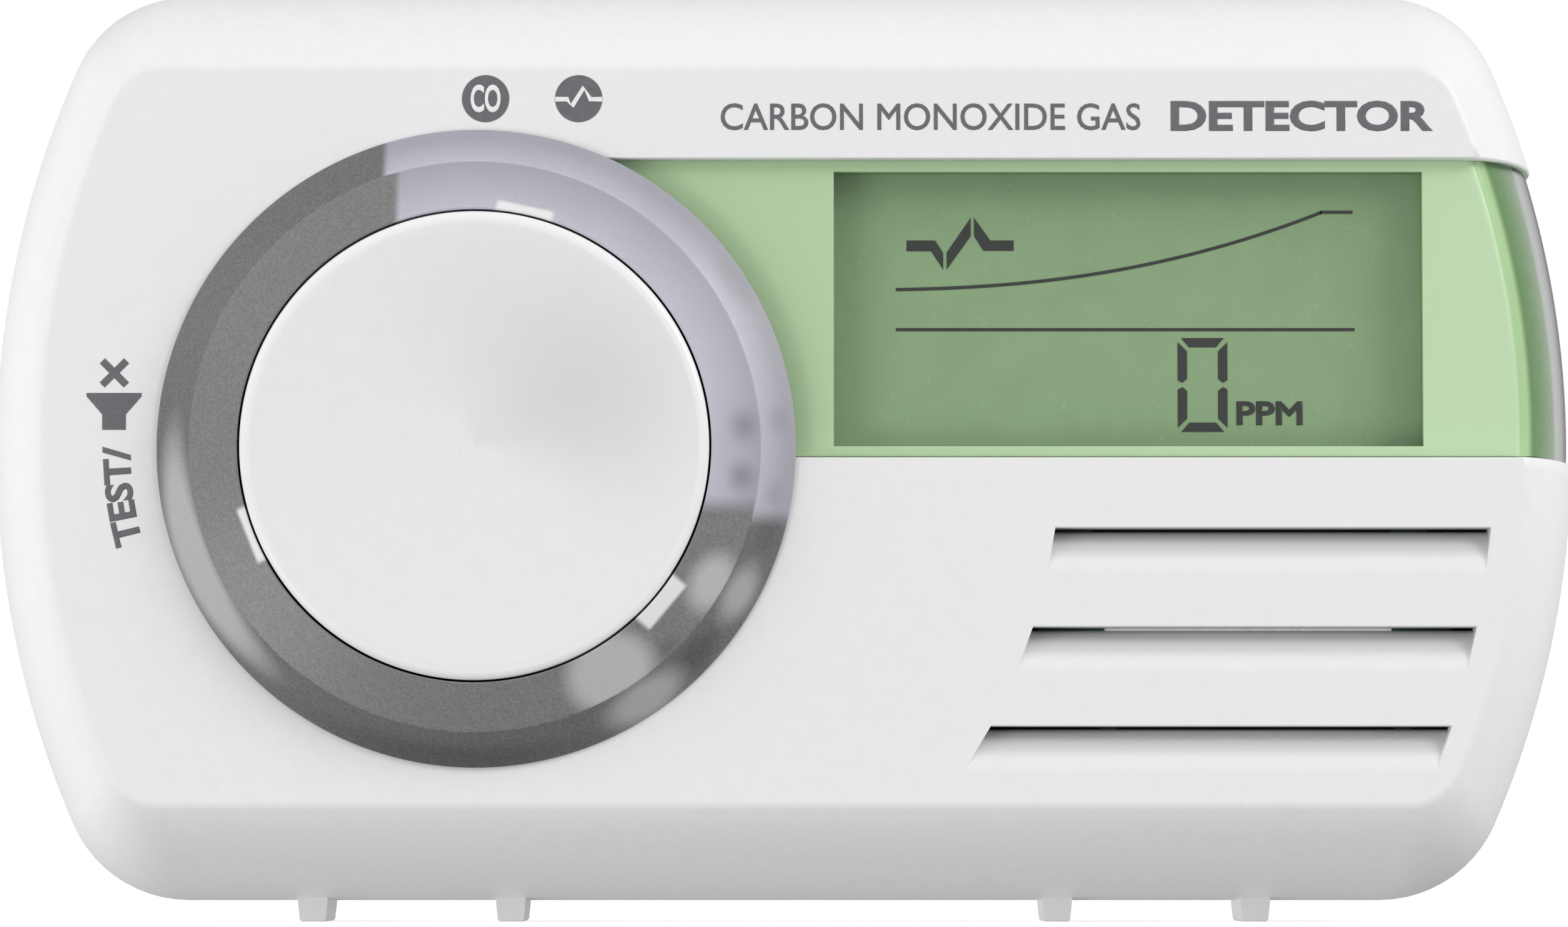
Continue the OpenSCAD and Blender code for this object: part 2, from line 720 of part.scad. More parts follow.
module sensor_shroud() color([0.9, 0.9, 0.9]) {
    at = [vent_mid_x, sensor_z];
    y0 = sensor_board_y - shroud_t;
    difference() {
        along_y(y0, sensor_board_y) round_rect(at, shroud_w, shroud_h, 1.5);
        rod(at, 5.1, y0 + 1, sensor_board_y + 1);
        for (x = [-2:2]) plate([at[0] + 1.8 * x, at[1]], 0.9, 5, y0 - 1, y0 + 1.5);
    }
}

module sensor_filter() color([0.95, 0.95, 0.92]) {
    rod([vent_mid_x, sensor_z], 5, sensor_board_y - shroud_t + 1.05, sensor_board_y - 0.05);
}

module sensor_cell() color([0.75, 0.75, 0.72]) {
    y0 = sensor_board_y + sensor_board_t;
    rod([vent_mid_x, sensor_z], sensor_d / 2, y0, y0 + sensor_t);
    rod([vent_mid_x, sensor_z], 4.3, y0 - 0.6, y0 + 0.5);
}

module board_pins() color([0.85, 0.75, 0.4]) {
    for (x = pin_rows, i = [-1:1])
        plate([x, sensor_z + 2.54 * i], 0.64, 0.64, sensor_board_y + sensor_board_t, board_y);
}

// ---- Sounder ----

sounder_at = [sounder_x, sounder_z];
sounder_r = sounder_d / 2;
piezo_y = board_back + 3;

module sounder_housing() color([0.88, 0.88, 0.88]) {
    seat_r = sounder_r - sounder_wall;
    turned(sounder_at, [[piezo_d / 2 - 1.5, board_back], [sounder_r, board_back],
        [sounder_r, board_back + sounder_depth], [seat_r, board_back + sounder_depth],
        [seat_r, piezo_y], [piezo_d / 2 - 1.5, piezo_y]]);
}

module piezo_disc() color([0.85, 0.7, 0.35]) {
    rod(sounder_at, piezo_d / 2, piezo_y, piezo_y + piezo_t);
    rod(sounder_at, piezo_d / 2 - 4, piezo_y + piezo_t, piezo_y + piezo_t + 0.2);
}

module sounder_gasket() color([0.2, 0.2, 0.2]) {
    y0 = piezo_y + piezo_t;
    turned(sounder_at, [[piezo_d / 2 - 1.5, y0], [piezo_d / 2, y0], [piezo_d / 2, y0 + 1],
        [piezo_d / 2 - 1.5, y0 + 1]]);
}

module sounder_cover() color([0.85, 0.85, 0.85]) {
    seat_r = sounder_r - sounder_wall - fit;
    y0 = piezo_y + piezo_t + 1;
    y1 = board_back + sounder_depth;
    difference() {
        turned(sounder_at, [[0, y1 - 1.2], [piezo_d / 2 - 2, y1 - 1.2], [piezo_d / 2 - 2, y0],
            [seat_r, y0], [seat_r, y1], [0, y1]]);
        rod([sounder_x, sounder_z + 5], 1.6, y0 - 1, y1 + 1);
    }
}

// ---- Wires ----

// A tube with its centre line through points, its section a polygon in the plane across it
function unit(v) = v / norm(v);
module wire(points, r, sides = 8) {
    n = len(points);
    dirs = [for (i = [0:n - 1]) unit(points[min(n - 1, i + 1)] - points[max(0, i - 1)])];
    ref = [0.31, 0.22, 0.925];
    rings = [for (i = [0:n - 1]) let (u = unit(cross(dirs[i], ref)), v = cross(dirs[i], u))
        [for (k = [0:sides - 1]) let (a = 360 * k / sides)
            points[i] + r * (cos(a) * u - sin(a) * v)]];
    skin(rings);
}

// A smooth line through four control points
function bezier(p, steps = 10) = [for (i = [0:steps]) let (t = i / steps)
    pow(1 - t, 3) * p[0] + 3 * t * pow(1 - t, 2) * p[1] + 3 * t * t * (1 - t) * p[2] + pow(t, 3) * p[3]];

module sounder_leads() color([0.8, 0.2, 0.15]) {
    y0 = piezo_y + piezo_t + 0.2;
    y1 = board_back + sounder_depth;
    for (side = [-1, 1])
        wire(concat(
            [[sounder_x + side * 0.8, y0, sounder_z + 5]],
            bezier([[sounder_x + side * 0.8, y1 + 0.5, sounder_z + 5],
                [sounder_x + side * 0.8, y1 + 4, sounder_z + 5],
                [sounder_x + side * 2, y1 + 5, sounder_z + 17],
                [sounder_x + side * 2, board_back + 1, sounder_z + 17]], 12),
            [[sounder_x + side * 2, board_back, sounder_z + 17]]), 0.4);
}

module cell_leads() color([0.75, 0.15, 0.12]) {
    y_end = board_back;
    for (side = [-1, 1]) {
        x = cell_x + side * (cell_l / 2 + 1.1);
        wire(concat(
            bezier([[x, cell_y, cell_z + cell_d / 2 - 3.5],
                [x, cell_y, cell_z + cell_d / 2 + 4],
                [x - side * 3, y_end + 6, cell_z + cell_d / 2 + 3.5],
                [x - side * 3, y_end + 1, cell_z + cell_d / 2 + 3.5]], 12),
            [[x - side * 3, y_end, cell_z + cell_d / 2 + 3.5]]), 0.6);
    }
}

// ---- Cell ----

module lithium_cell() color([0.3, 0.45, 0.65]) {
    translate([cell_x - cell_l / 2, cell_y, cell_z]) rotate([0, 90, 0]) {
        cylinder(r = cell_d / 2, h = cell_l - 1);
        cylinder(r = cell_d / 2 - 0.6, h = cell_l - 0.5);
        cylinder(r = 3, h = cell_l);
    }
}

module cell_tabs() color([0.8, 0.8, 0.78]) {
    for (side = [-1, 1])
        plate([cell_x + side * (cell_l / 2 + 0.15), cell_z + 2], 0.3, 9, cell_y - 2, cell_y + 2);
}

module cell_pad() color([0.3, 0.3, 0.3]) {
    plate([cell_x, cell_z], 20, 8, board_back, cell_y - cell_d / 2 - 0.05);
}

// ---- Activation switch ----

lever_w = 1.6;
lever_y1 = board_back + act_switch_h + 3;

module activation_switch() color([0.6, 0.6, 0.62]) {
    difference() {
        plate([act_x - slider_travel / 2, act_z], 10 + slider_travel, 4.4, board_back,
            board_back + act_switch_h);
        plate([act_x - slider_travel / 2, act_z], lever_w + slider_travel + 0.6, lever_w + 0.4,
            board_back + 1, board_back + act_switch_h + 1);
    }
}

module switch_lever() color([0.15, 0.15, 0.15]) {
    plate([act_x, act_z], lever_w, lever_w, board_back + 1.2, lever_y1);
}

module activation_slider() color([0.85, 0.25, 0.2]) {
    arm_y = board_back + act_switch_h + 0.6;
    difference() {
        union() {
            plate([act_x, act_z], knob_w + slider_travel + 4, knob_h + 2.2, slider_y, slider_y + slider_plate_t);
            plate([act_x, act_z], 4.4, 4, arm_y, slider_y);
        }
        plate([act_x, act_z], lever_w + 0.3, lever_w + 0.3, arm_y - 1, lever_y1 + 0.5);
    }
    difference() {
        plate([act_x, act_z], knob_w, knob_h, slider_y + slider_plate_t, rear_y - 0.5);
        for (x = [-1:1]) plate([act_x + 0.9 * x, act_z], 0.3, knob_h + 1, rear_y - 0.8, rear_y);
    }
}

// ---- Fixings and label ----

// A cross-headed screw whose head seats at y1 and whose shank points to -y
module screw(p, shank_r, head_r, head_t, len, y1) {
    difference() {
        turned(p, [[0, y1 - len], [shank_r * 0.5, y1 - len], [shank_r, y1 - len + shank_r],
            [shank_r, y1], [head_r, y1], [head_r, y1 + head_t * 0.5], [head_r * 0.7, y1 + head_t], [0, y1 + head_t]]);
        for (a = [0, 90]) translate([p[0], y1 + head_t, p[1]]) rotate([0, a, 0])
            cube([head_r * 1.1, head_t, 0.5], center = true);
    }
}

module board_screws() color([0.7, 0.7, 0.72]) {
    for (p = board_bosses) screw(p, board_pilot_r, 2, 1.3, 8, board_back);
}

module case_screws() color([0.7, 0.7, 0.72]) {
    for (p = case_posts) screw(p, case_pilot_r, case_head_r, 1.8, 16, seam_y + 5);
}

label_w = 46;
label_h = 20;
label_at = [0, mid_z - 4];

module rear_label() color([0.8, 0.8, 0.8]) {
    along_y(rear_y - 0.4, rear_y - 0.2) round_rect(label_at, label_w, label_h, 1.2);
}

// ---- Parts ----

front_casing();
rear_casing();
display_window();
display_bezel();
lcd_frame();
lcd_panel();
lcd_backlight();
contact_strips();
indicator_ring();
light_guide();
test_button();
button_spring();
test_switch();
switch_plunger();
main_board();
microcontroller();
chip_parts();
storage_capacitor();
boost_inductor();
red_led();
green_led();
amber_led();
sensor_board();
sensor_cell();
sensor_shroud();
sensor_filter();
board_pins();
sounder_housing();
sounder_gasket();
piezo_disc();
sounder_cover();
sounder_leads();
lithium_cell();
cell_tabs();
cell_pad();
cell_leads();
activation_switch();
switch_lever();
activation_slider();
board_screws();
case_screws();
rear_label();
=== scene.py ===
import math

import bmesh
import bpy
import numpy as np
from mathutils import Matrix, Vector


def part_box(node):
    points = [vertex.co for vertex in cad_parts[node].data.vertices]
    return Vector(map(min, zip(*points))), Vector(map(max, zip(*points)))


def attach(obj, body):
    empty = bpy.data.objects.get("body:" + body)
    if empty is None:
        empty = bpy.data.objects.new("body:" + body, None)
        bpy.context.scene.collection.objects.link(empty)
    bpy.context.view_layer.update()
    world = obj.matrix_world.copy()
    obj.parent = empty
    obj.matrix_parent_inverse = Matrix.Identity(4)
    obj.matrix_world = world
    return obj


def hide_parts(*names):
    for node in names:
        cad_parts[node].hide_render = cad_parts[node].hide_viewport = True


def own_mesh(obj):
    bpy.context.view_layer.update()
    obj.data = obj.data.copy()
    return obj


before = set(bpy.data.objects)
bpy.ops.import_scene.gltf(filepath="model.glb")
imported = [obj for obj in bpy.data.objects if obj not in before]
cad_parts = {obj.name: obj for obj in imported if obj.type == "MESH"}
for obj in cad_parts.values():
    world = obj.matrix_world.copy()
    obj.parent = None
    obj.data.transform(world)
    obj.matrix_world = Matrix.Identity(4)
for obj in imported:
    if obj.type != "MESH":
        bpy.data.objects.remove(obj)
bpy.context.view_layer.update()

MM = 0.001

# ---------------------------------------------------------------------------------------------
# Camera, lamps and floor. The camera stands half a metre in front, just above the shelf, and
# looks up by three and a half degrees. A pale sheet lies under the alarm, in soft studio light.

eye = bpy.data.cameras.new("studio_camera")
eye.sensor_width, eye.lens = 36.0, 154.94
eye.clip_start, eye.clip_end = 0.01, 50.0
camera = bpy.data.objects.new("studio_camera", eye)
camera.location = (0.0, -0.515067, 0.003434)
camera.rotation_euler = (math.radians(93.5), 0.0, 0.0)
bpy.context.scene.collection.objects.link(camera)
bpy.context.scene.camera = camera
bpy.context.scene.view_settings.view_transform = "Standard"


def soft_lamp(name, place, aim, width, height, watts):
    """A rectangular studio lamp at place, turned to face aim."""
    lamp = bpy.data.lights.new(name, "AREA")
    lamp.shape, lamp.size, lamp.size_y, lamp.energy = "RECTANGLE", width, height, watts
    holder = bpy.data.objects.new(name, lamp)
    holder.location = place
    look = np.array(aim) - np.array(place)
    holder.rotation_euler = (math.atan2(math.hypot(look[0], look[1]), -look[2]), 0.0,
                             math.atan2(look[1], look[0]) - math.pi / 2)
    bpy.context.scene.collection.objects.link(holder)


soft_lamp("right_lamp", (0.8, -0.5, 0.55), (0.0, 0.0, 0.04), 0.5, 0.5, 4.9)
soft_lamp("left_lamp", (-0.7, -0.35, 0.4), (0.0, 0.0, 0.04), 0.4, 0.4, 0.6)
soft_lamp("low_lamp", (-0.6, -0.6, -0.3), (0.0, 0.0, 0.04), 0.4, 0.4, 2.0)


def material(name, colour, roughness, **sockets):
    """A new Principled material with constant values on its sockets."""
    made = bpy.data.materials.new(name)
    made.use_nodes = True
    skin = made.node_tree.nodes["Principled BSDF"]
    skin.inputs["Base Color"].default_value = (*colour, 1.0)
    skin.inputs["Roughness"].default_value = roughness
    for socket, value in sockets.items():
        skin.inputs[socket.replace("_", " ")].default_value = value
    return made


def node(made, kind, **inputs):
    """Adds a node; inputs are values or the sockets to link, named as on the node, or i0, i1 and so on
    in their order."""
    n = made.node_tree.nodes.new(kind)
    for key, value in inputs.items():
        numbered = key[0] == "i" and key[1:].isdigit()
        socket = n.inputs[int(key[1:]) if numbered else key.replace("_", " ")]
        if isinstance(value, bpy.types.NodeSocket):
            made.node_tree.links.new(value, socket)
        else:
            socket.default_value = value
    return n


def sum_of(made, operation, *values, clamp=False):
    """The result of one sum, worked out by a Math node."""
    n = node(made, "ShaderNodeMath", **{f"i{k}": v for k, v in enumerate(values)})
    n.operation, n.use_clamp = operation, clamp
    return n.outputs[0]


# The studio's walls glow softly: each entry is a direction and the strength of the light from it.
# They look dimmer in reflections, even through the window, and the camera sees them plain white.
walls = [((0, 0, 1), 0.43), ((0, -1, 0), 0.13), ((-1, 0, 0), 1.04), ((1, 0, 0), 0.79),
         ((0, 1, 0), 0.5)]
lost_in_gloss, through_window, plain_white = 0.6, 0.62, 1.0
sky = bpy.data.worlds.new("studio_walls")
sky.use_nodes = True
bpy.context.scene.world = sky
rays = node(sky, "ShaderNodeLightPath").outputs
towards = node(sky, "ShaderNodeTexCoord").outputs["Generated"]
glow = 0.0
for direction, strength in walls:
    facing = node(sky, "ShaderNodeVectorMath", i0=towards, i1=direction)
    facing.operation = "DOT_PRODUCT"
    ahead = sum_of(sky, "MAXIMUM", facing.outputs["Value"], 0.0)
    glow = sum_of(sky, "MULTIPLY_ADD", ahead, strength, glow)
in_gloss = sum_of(sky, "MULTIPLY_ADD", rays["Is Glossy Ray"], -lost_in_gloss, 1.0)
glow = sum_of(sky, "MULTIPLY", glow, in_gloss)
glow = node(sky, "ShaderNodeMix", i0=rays["Is Transmission Ray"], i2=glow, i3=through_window).outputs[0]
glow = node(sky, "ShaderNodeMix", i0=rays["Is Camera Ray"], i2=glow, i3=plain_white).outputs[0]
background = sky.node_tree.nodes["Background"]
background.inputs["Color"].default_value = (1.0, 1.0, 1.0, 1.0)
sky.node_tree.links.new(glow, background.inputs["Strength"])

sheet = bpy.data.meshes.new("pale_sheet")
sheet.from_pydata([(-4, -4, 0), (4, -4, 0), (4, 4, 0), (-4, 4, 0)], [], [(0, 1, 2, 3)])
floor = bpy.data.objects.new("pale_sheet", sheet)
bpy.context.scene.collection.objects.link(floor)
sheet.materials.append(material("pale_paper", (0.93, 0.93, 0.93), 0.9,
                                Emission_Color=(1.0, 1.0, 1.0, 1.0), Emission_Strength=0.45))
floor.visible_diffuse = floor.visible_glossy = floor.visible_shadow = False

# ---------------------------------------------------------------------------------------------
# Front casing: white injection-moulded plastic, 2 mm thick, with a satin skin. Its flat face
# rolls back over a soft crease to bowed sides. It is open for the window, ring and vents, stands
# on four small feet, and has four posts inside for the case screws.

front_low, front_high = (np.array(c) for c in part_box("front_casing"))
face_y, seam_y, rear_y = front_low[1], front_high[1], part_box("rear_casing")[1][1]
foot_h = 1.6 * MM
half_w, half_h = 60 * MM, (front_high[2] - foot_h) / 2
mid_z = foot_h + half_h
corner_r, side_r, wall = 9.4 * MM, 72 * MM, 2 * MM
roll_x, roll_z, roll_d = 5.2 * MM, 7.4 * MM, 16.5 * MM
crease_r, crease_a = 2 * MM, math.radians(20)
roll_r = (roll_z - crease_r * math.sin(crease_a)) / (1 - math.sin(crease_a))
roll_k = roll_d / (crease_r * (1 - math.cos(crease_a)) + roll_r * math.cos(crease_a))
side_turn = math.asin((half_h - corner_r) / (side_r - corner_r))
widest_y = face_y + roll_d
draft = 0.3 * MM

ring_low, ring_high = (np.array(c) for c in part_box("indicator_ring"))
ring_x, ring_z = (ring_low[0] + ring_high[0]) / 2, (ring_low[2] + ring_high[2]) / 2
bore_r, ring_land = 20 * MM, 2.2 * MM
window_low, window_high = (c[2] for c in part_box("display_window"))
window_low, window_high = window_low - 0.1 * MM, window_high + 0.1 * MM
window_end = widest_y + 4 * MM


def softened(rows, reach):
    """Rows of a section averaged along it, with a bell-shaped weight that runs out at reach to each
    side. The section is sampled evenly for that, and carried on straight past its ends."""
    step = np.hypot(np.diff(rows[:, 0] + rows[:, 1]), np.diff(rows[:, 2]))
    run = np.cumsum(np.concatenate([[0], step]))
    even = np.linspace(0, run[-1], 160)
    fine = np.stack([np.interp(even, run, rows[:, i]) for i in range(3)], axis=1)
    width = max(1, int(reach / (even[1] - even[0])))
    weight = np.hanning(width * 2 + 3)[1:-1]
    weight /= weight.sum()
    padded = np.concatenate([np.repeat(fine[:1], width, 0), fine, np.repeat(fine[-1:], width, 0)])
    padded[:width] += np.outer(np.arange(-width, 0), fine[1] - fine[0])
    padded[-width:] += np.outer(np.arange(1, width + 1), fine[-1] - fine[-2])
    smooth = np.stack([np.convolve(padded[:, i], weight, "valid") for i in range(3)], axis=1)
    return np.stack([np.interp(run, even, smooth[:, i]) for i in range(3)], axis=1)


def edge_rows(s, steps=26, soften=0.0):
    """Section of the casing's edge, s below its skin: inset from the outline, inward shift and depth
    of each row. A small arc of the crease runs into a long one, both stretched in depth, and each
    row lies s along the normal. Rows that would fold over the crease are laid along the flat.
    soften rounds the crease over that length."""
    arc = [np.linspace(0, crease_a, 7)[:-1], np.linspace(crease_a, math.pi / 2, steps)]
    a = np.concatenate(arc)
    crease = a <= crease_a
    inset = np.where(crease, roll_z - crease_r * np.sin(a), roll_r * (1 - np.sin(a)))
    past_crease = crease_r * (1 - math.cos(crease_a)) + roll_r * (math.cos(crease_a) - np.cos(a))
    depth = roll_k * np.where(crease, crease_r * (1 - np.cos(a)), past_crease)
    length = np.sqrt((roll_k * np.sin(a)) ** 2 + np.cos(a) ** 2)
    shift, back = s * roll_k * np.sin(a) / length, depth + s * np.cos(a) / length
    rows = np.stack([inset, shift, back], axis=1)
    folds_over = s > 0.8 * MM
    if folds_over or soften:
        first = np.nonzero((back > s + 0.02 * MM) & ~crease)[0][0]
        t = (s - back[first - 1]) / (back[first] - back[first - 1])
        corner = rows[first - 1] + t * (rows[first] - rows[first - 1])
        flat_run = max(soften, 0.5 * MM)
        before = corner + np.outer(np.linspace(1, 0, first), [flat_run, 0, 0])
        rows = np.concatenate([before, rows[first:]])
    return softened(rows, soften) if soften else rows


def outline_sizes(inset, shift):
    """Half width, half height, corner radius and side radius of the outline at each row. The side's
    arc turns by side_turn from the middle to where the corner's arc takes over."""
    w = half_w - inset * roll_x / roll_z - shift
    h = half_h - inset - shift
    rc = np.maximum(0.8 * MM, corner_r - 0.8 * inset - shift)
    return w, h, rc, rc + (h - rc) / math.sin(side_turn)


def body_rings(rows, on_side=22, on_corner=12):
    """Closed outlines, one for each row of inset, shift and y: bowed sides that turn by side_turn,
    then corner arcs, mirrored to four quarters. Returns an array of rings by points by xyz."""
    inset, shift, y = rows[:, :1], rows[:, 1:2], rows[:, 2:3]
    w, h, rc, rs = outline_sizes(inset, shift)
    a = np.linspace(side_turn, math.pi / 2, on_corner)[1:]
    a = np.concatenate([np.linspace(0, side_turn, on_side), a])
    side = a <= side_turn
    r = np.where(side, rs, rc)
    x = np.where(side, w - rs, w - rs + (rs - rc) * math.cos(side_turn)) + r * np.cos(a)
    z = np.where(side, 0, h - rc) + r * np.sin(a)
    x = np.concatenate([x, -x[:, ::-1], -x[:, 1:], x[:, :0:-1]], axis=1)
    z = np.concatenate([z, z[:, ::-1], -z[:, 1:], -z[:, :0:-1]], axis=1)
    return np.stack([x, np.broadcast_to(y, x.shape), z + mid_z], axis=2)


def mend(mesh, merge=False, outwards=True):
    """Merges the corners that lie in one place, where asked, and turns the faces outwards."""
    bm = bmesh.new()
    bm.from_mesh(mesh)
    if merge:
        bmesh.ops.remove_doubles(bm, verts=bm.verts, dist=1e-7)
    if outwards:
        bmesh.ops.recalc_face_normals(bm, faces=bm.faces)
    bm.to_mesh(mesh)
    bm.free()


def new_piece(name, points, faces, merge=False):
    """A mesh object at the origin from an array of points and a list of faces, normals outwards."""
    mesh = bpy.data.meshes.new(name)
    mesh.from_pydata(np.asarray(points).reshape(-1, 3).tolist(), [], faces)
    mend(mesh, merge)
    piece = bpy.data.objects.new(name, mesh)
    bpy.context.scene.collection.objects.link(piece)
    return piece


def loft_faces(rings, points, closed=True, capped=True, first=0):
    """Quads between successive rings of a grid, and a face over each end."""
    last = points if closed else points - 1
    k, i = np.meshgrid(np.arange(rings - 1), np.arange(last), indexing="ij")
    j = (i + 1) % points
    corners = [k * points + i, (k + 1) * points + i, (k + 1) * points + j, k * points + j]
    quads = np.stack(corners, axis=2)
    faces = (quads.reshape(-1, 4) + first).tolist()
    if capped:
        faces.append((first + np.arange(points)[::-1]).tolist())
        faces.append((first + (rings - 1) * points + np.arange(points)).tolist())
    return faces


def join(name, pieces):
    """One object from several closed meshes."""
    bm = bmesh.new()
    for piece in pieces:
        bm.from_mesh(piece.data)
        bpy.data.objects.remove(piece)
    mesh = bpy.data.meshes.new(name)
    bm.to_mesh(mesh)
    bm.free()
    whole = bpy.data.objects.new(name, mesh)
    bpy.context.scene.collection.objects.link(whole)
    return whole


def carve(piece, tools, way="DIFFERENCE"):
    """Cuts the closed tools from a piece, or adds them to it, and keeps the result as its mesh."""
    for tool in tools:
        cut = piece.modifiers.new("carve", "BOOLEAN")
        cut.operation, cut.solver, cut.object = way, "EXACT", tool
        bpy.context.view_layer.update()
        result = piece.evaluated_get(bpy.context.evaluated_depsgraph_get())
        shaped = bpy.data.meshes.new_from_object(result)
        piece.modifiers.clear()
        piece.data = shaped
        bpy.data.objects.remove(tool)


def shade(piece, sharp=50, weighted=True):
    """Smooth shading that keeps edges harder than sharp degrees; flats keep their flatness."""
    piece.data.shade_smooth()
    piece.data.set_sharp_from_angle(angle=math.radians(sharp))
    if weighted:
        even = piece.modifiers.new("flat_faces_stay_flat", "WEIGHTED_NORMAL")
        even.keep_sharp, even.weight = True, 60


def block(name, low, high):
    """A plain box between two corners, for a cutting tool, a pad or a lug."""
    (x0, y0, z0), (x1, y1, z1) = low, high
    points = [(x0, y0, z0), (x1, y0, z0), (x1, y1, z0), (x0, y1, z0),
              (x0, y0, z1), (x1, y0, z1), (x1, y1, z1), (x0, y1, z1)]
    sides = [(0, 3, 2, 1), (4, 5, 6, 7), (0, 1, 5, 4), (2, 3, 7, 6), (1, 2, 6, 5), (3, 0, 4, 7)]
    return new_piece(name, points, sides)


def turned(name, profile, x, z, count=160):
    """A profile of (radius, y) pairs turned about the line along y through (x, z). The profile is
    closed, or starts and ends on the axis."""
    profile = np.array(profile, float)
    a = np.linspace(0, 2 * math.pi, count, endpoint=False)
    r, y = profile[:, 0], profile[:, 1]
    round_x, round_z = x + np.outer(r, np.cos(a)), z + np.outer(r, np.sin(a))
    points = np.stack([round_x, np.repeat(y[:, None], count, 1), round_z], axis=2)
    closed = r[0] > 0 or r[-1] > 0
    faces = loft_faces(len(r), count, capped=False)
    if closed:
        last = (len(r) - 1) * count
        i = np.arange(count)
        j = (i + 1) % count
        faces += np.stack([last + i, i, j, last + j], axis=1).tolist()
    return new_piece(name, points, faces, merge=True)


def band(s, grow, n_flat=3, n_side=4, n_z=25, soften=0.0):
    """The window's band on the casing's form, s below the skin and wider by grow: columns run from
    an arc round the ring, over the flat, the rolled edge and back along the side."""
    z = np.linspace(window_low - grow, window_high + grow, n_z)[:, None]
    rows = edge_rows(s, soften=soften)
    w, _, _, rs = outline_sizes(rows[:, 0], rows[:, 1])
    x = w - rs + np.sqrt(rs**2 - (z - mid_z) ** 2)
    y = np.broadcast_to(face_y + rows[:, 2], x.shape)
    start = ring_x + np.sqrt((bore_r + ring_land - min(grow, 0)) ** 2 - (z - ring_z) ** 2)
    t = np.linspace(0, 1, n_flat + 1)[:-1]
    flat_x = start + (x[:, :1] - start) * t
    side_y = np.linspace(y[0, -1], window_end + grow, n_side + 1)[1:]
    side_x = x[:, -1:] - draft * (side_y - widest_y) / (seam_y - widest_y)
    grid_x = np.concatenate([flat_x, x, side_x], axis=1)
    grid_y = np.concatenate([np.full(flat_x.shape, face_y + rows[0, 2]), y,
                             np.broadcast_to(side_y, side_x.shape)], axis=1)
    return np.stack([grid_x, grid_y, np.broadcast_to(z, grid_x.shape)], axis=2)


def slab(name, levels):
    """A closed solid between the first and last of several bands, its rim running through them all."""
    n_z, n_u = levels[0].shape[:2]
    size = n_z * n_u
    points = np.concatenate([level.reshape(-1, 3) for level in levels])
    faces = loft_faces(n_z, n_u, closed=False, capped=False)
    faces += loft_faces(n_z, n_u, closed=False, capped=False, first=(len(levels) - 1) * size)
    index = np.arange(size).reshape(n_z, n_u)
    rim = np.concatenate([index[0], index[1:, -1], index[-1, -2::-1], index[-2:0:-1, 0]])
    for k in range(len(levels) - 1):
        a, b = rim + k * size, rim + (k + 1) * size
        faces += np.stack([a, np.roll(a, -1), np.roll(b, -1), b], axis=1).tolist()
    return new_piece(name, points, faces)


lip = [[0, draft, seam_y - 0.2 * MM], [0, draft + 0.15 * MM, seam_y], [0, draft + wall, seam_y]]
outer, inner = edge_rows(0) + [0, 0, face_y], edge_rows(wall) + [0, 0, face_y]
rings = body_rings(np.concatenate([outer, lip, inner[::-1]]))
front_shell = new_piece("front_casing_shell", rings, loft_faces(*rings.shape[:2]))

vent_h, vent_gap, vent_depth, vent_pitch = 3.4 * MM, 0.2 * MM, 3.4 * MM, 7.35 * MM
vent_middle = mid_z - 15.95 * MM
vent_left_r, vent_margin = 43.3 * MM, 7.3 * MM
blade_t, blade_past, blade_turn = 1.2 * MM, 0.7 * MM, 0.45


def vent_ends(z):
    """Left and right ends of a vent at height z: an arc about the ring and one along the side."""
    return (ring_x + math.sqrt(vent_left_r**2 - (z - ring_z) ** 2),
            half_w - side_r - vent_margin + math.sqrt(side_r**2 - (z - mid_z) ** 2))


def vent_tools(z0):
    """The blade behind a vent, and the tool that scoops and slits it. The scoop is an arc that
    leaves the flat face at the vent's bottom edge and dips back to its top; the slit runs straight
    back over its top. The blade is a wall that follows the arc, from blade_turn radians on."""
    rise = vent_h - vent_gap
    turn = 2 * math.atan(vent_depth / rise)
    r = rise / math.sin(turn)
    low, high = vent_ends(z0), vent_ends(z0 + vent_h)

    def across(name, y, z, grow):
        t = (z - z0) / vent_h
        left = low[0] + (high[0] - low[0]) * t - grow
        right = low[1] + (high[1] - low[1]) * t + grow
        grid = np.stack([np.stack([left, y, z], axis=1), np.stack([right, y, z], axis=1)])
        return new_piece(name, grid, loft_faces(2, len(y)))

    a = np.linspace(blade_turn, turn, 13)
    back, front = r - blade_t, r + 0.3 * MM
    y = np.concatenate([face_y + r - back * np.cos(a), face_y + r - front * np.cos(a[::-1])])
    z = np.concatenate([z0 + back * np.sin(a), z0 + front * np.sin(a[::-1])])
    blade = across("vent_blade", y, z, blade_past)
    a = np.linspace(0, turn, 25)
    y, z = face_y + r * (1 - np.cos(a)), z0 + r * np.sin(a)
    slit_y = face_y + 5 * MM
    y = np.concatenate([[face_y - MM], y, [slit_y, slit_y, face_y + 0.1 * MM, face_y - MM]])
    z = np.concatenate([[z0], z, [z0 + rise, z0 + vent_h, z0 + vent_h, z0 + vent_h + 1.1 * MM]])
    return blade, across("vent_tool", y, z, 0.0)


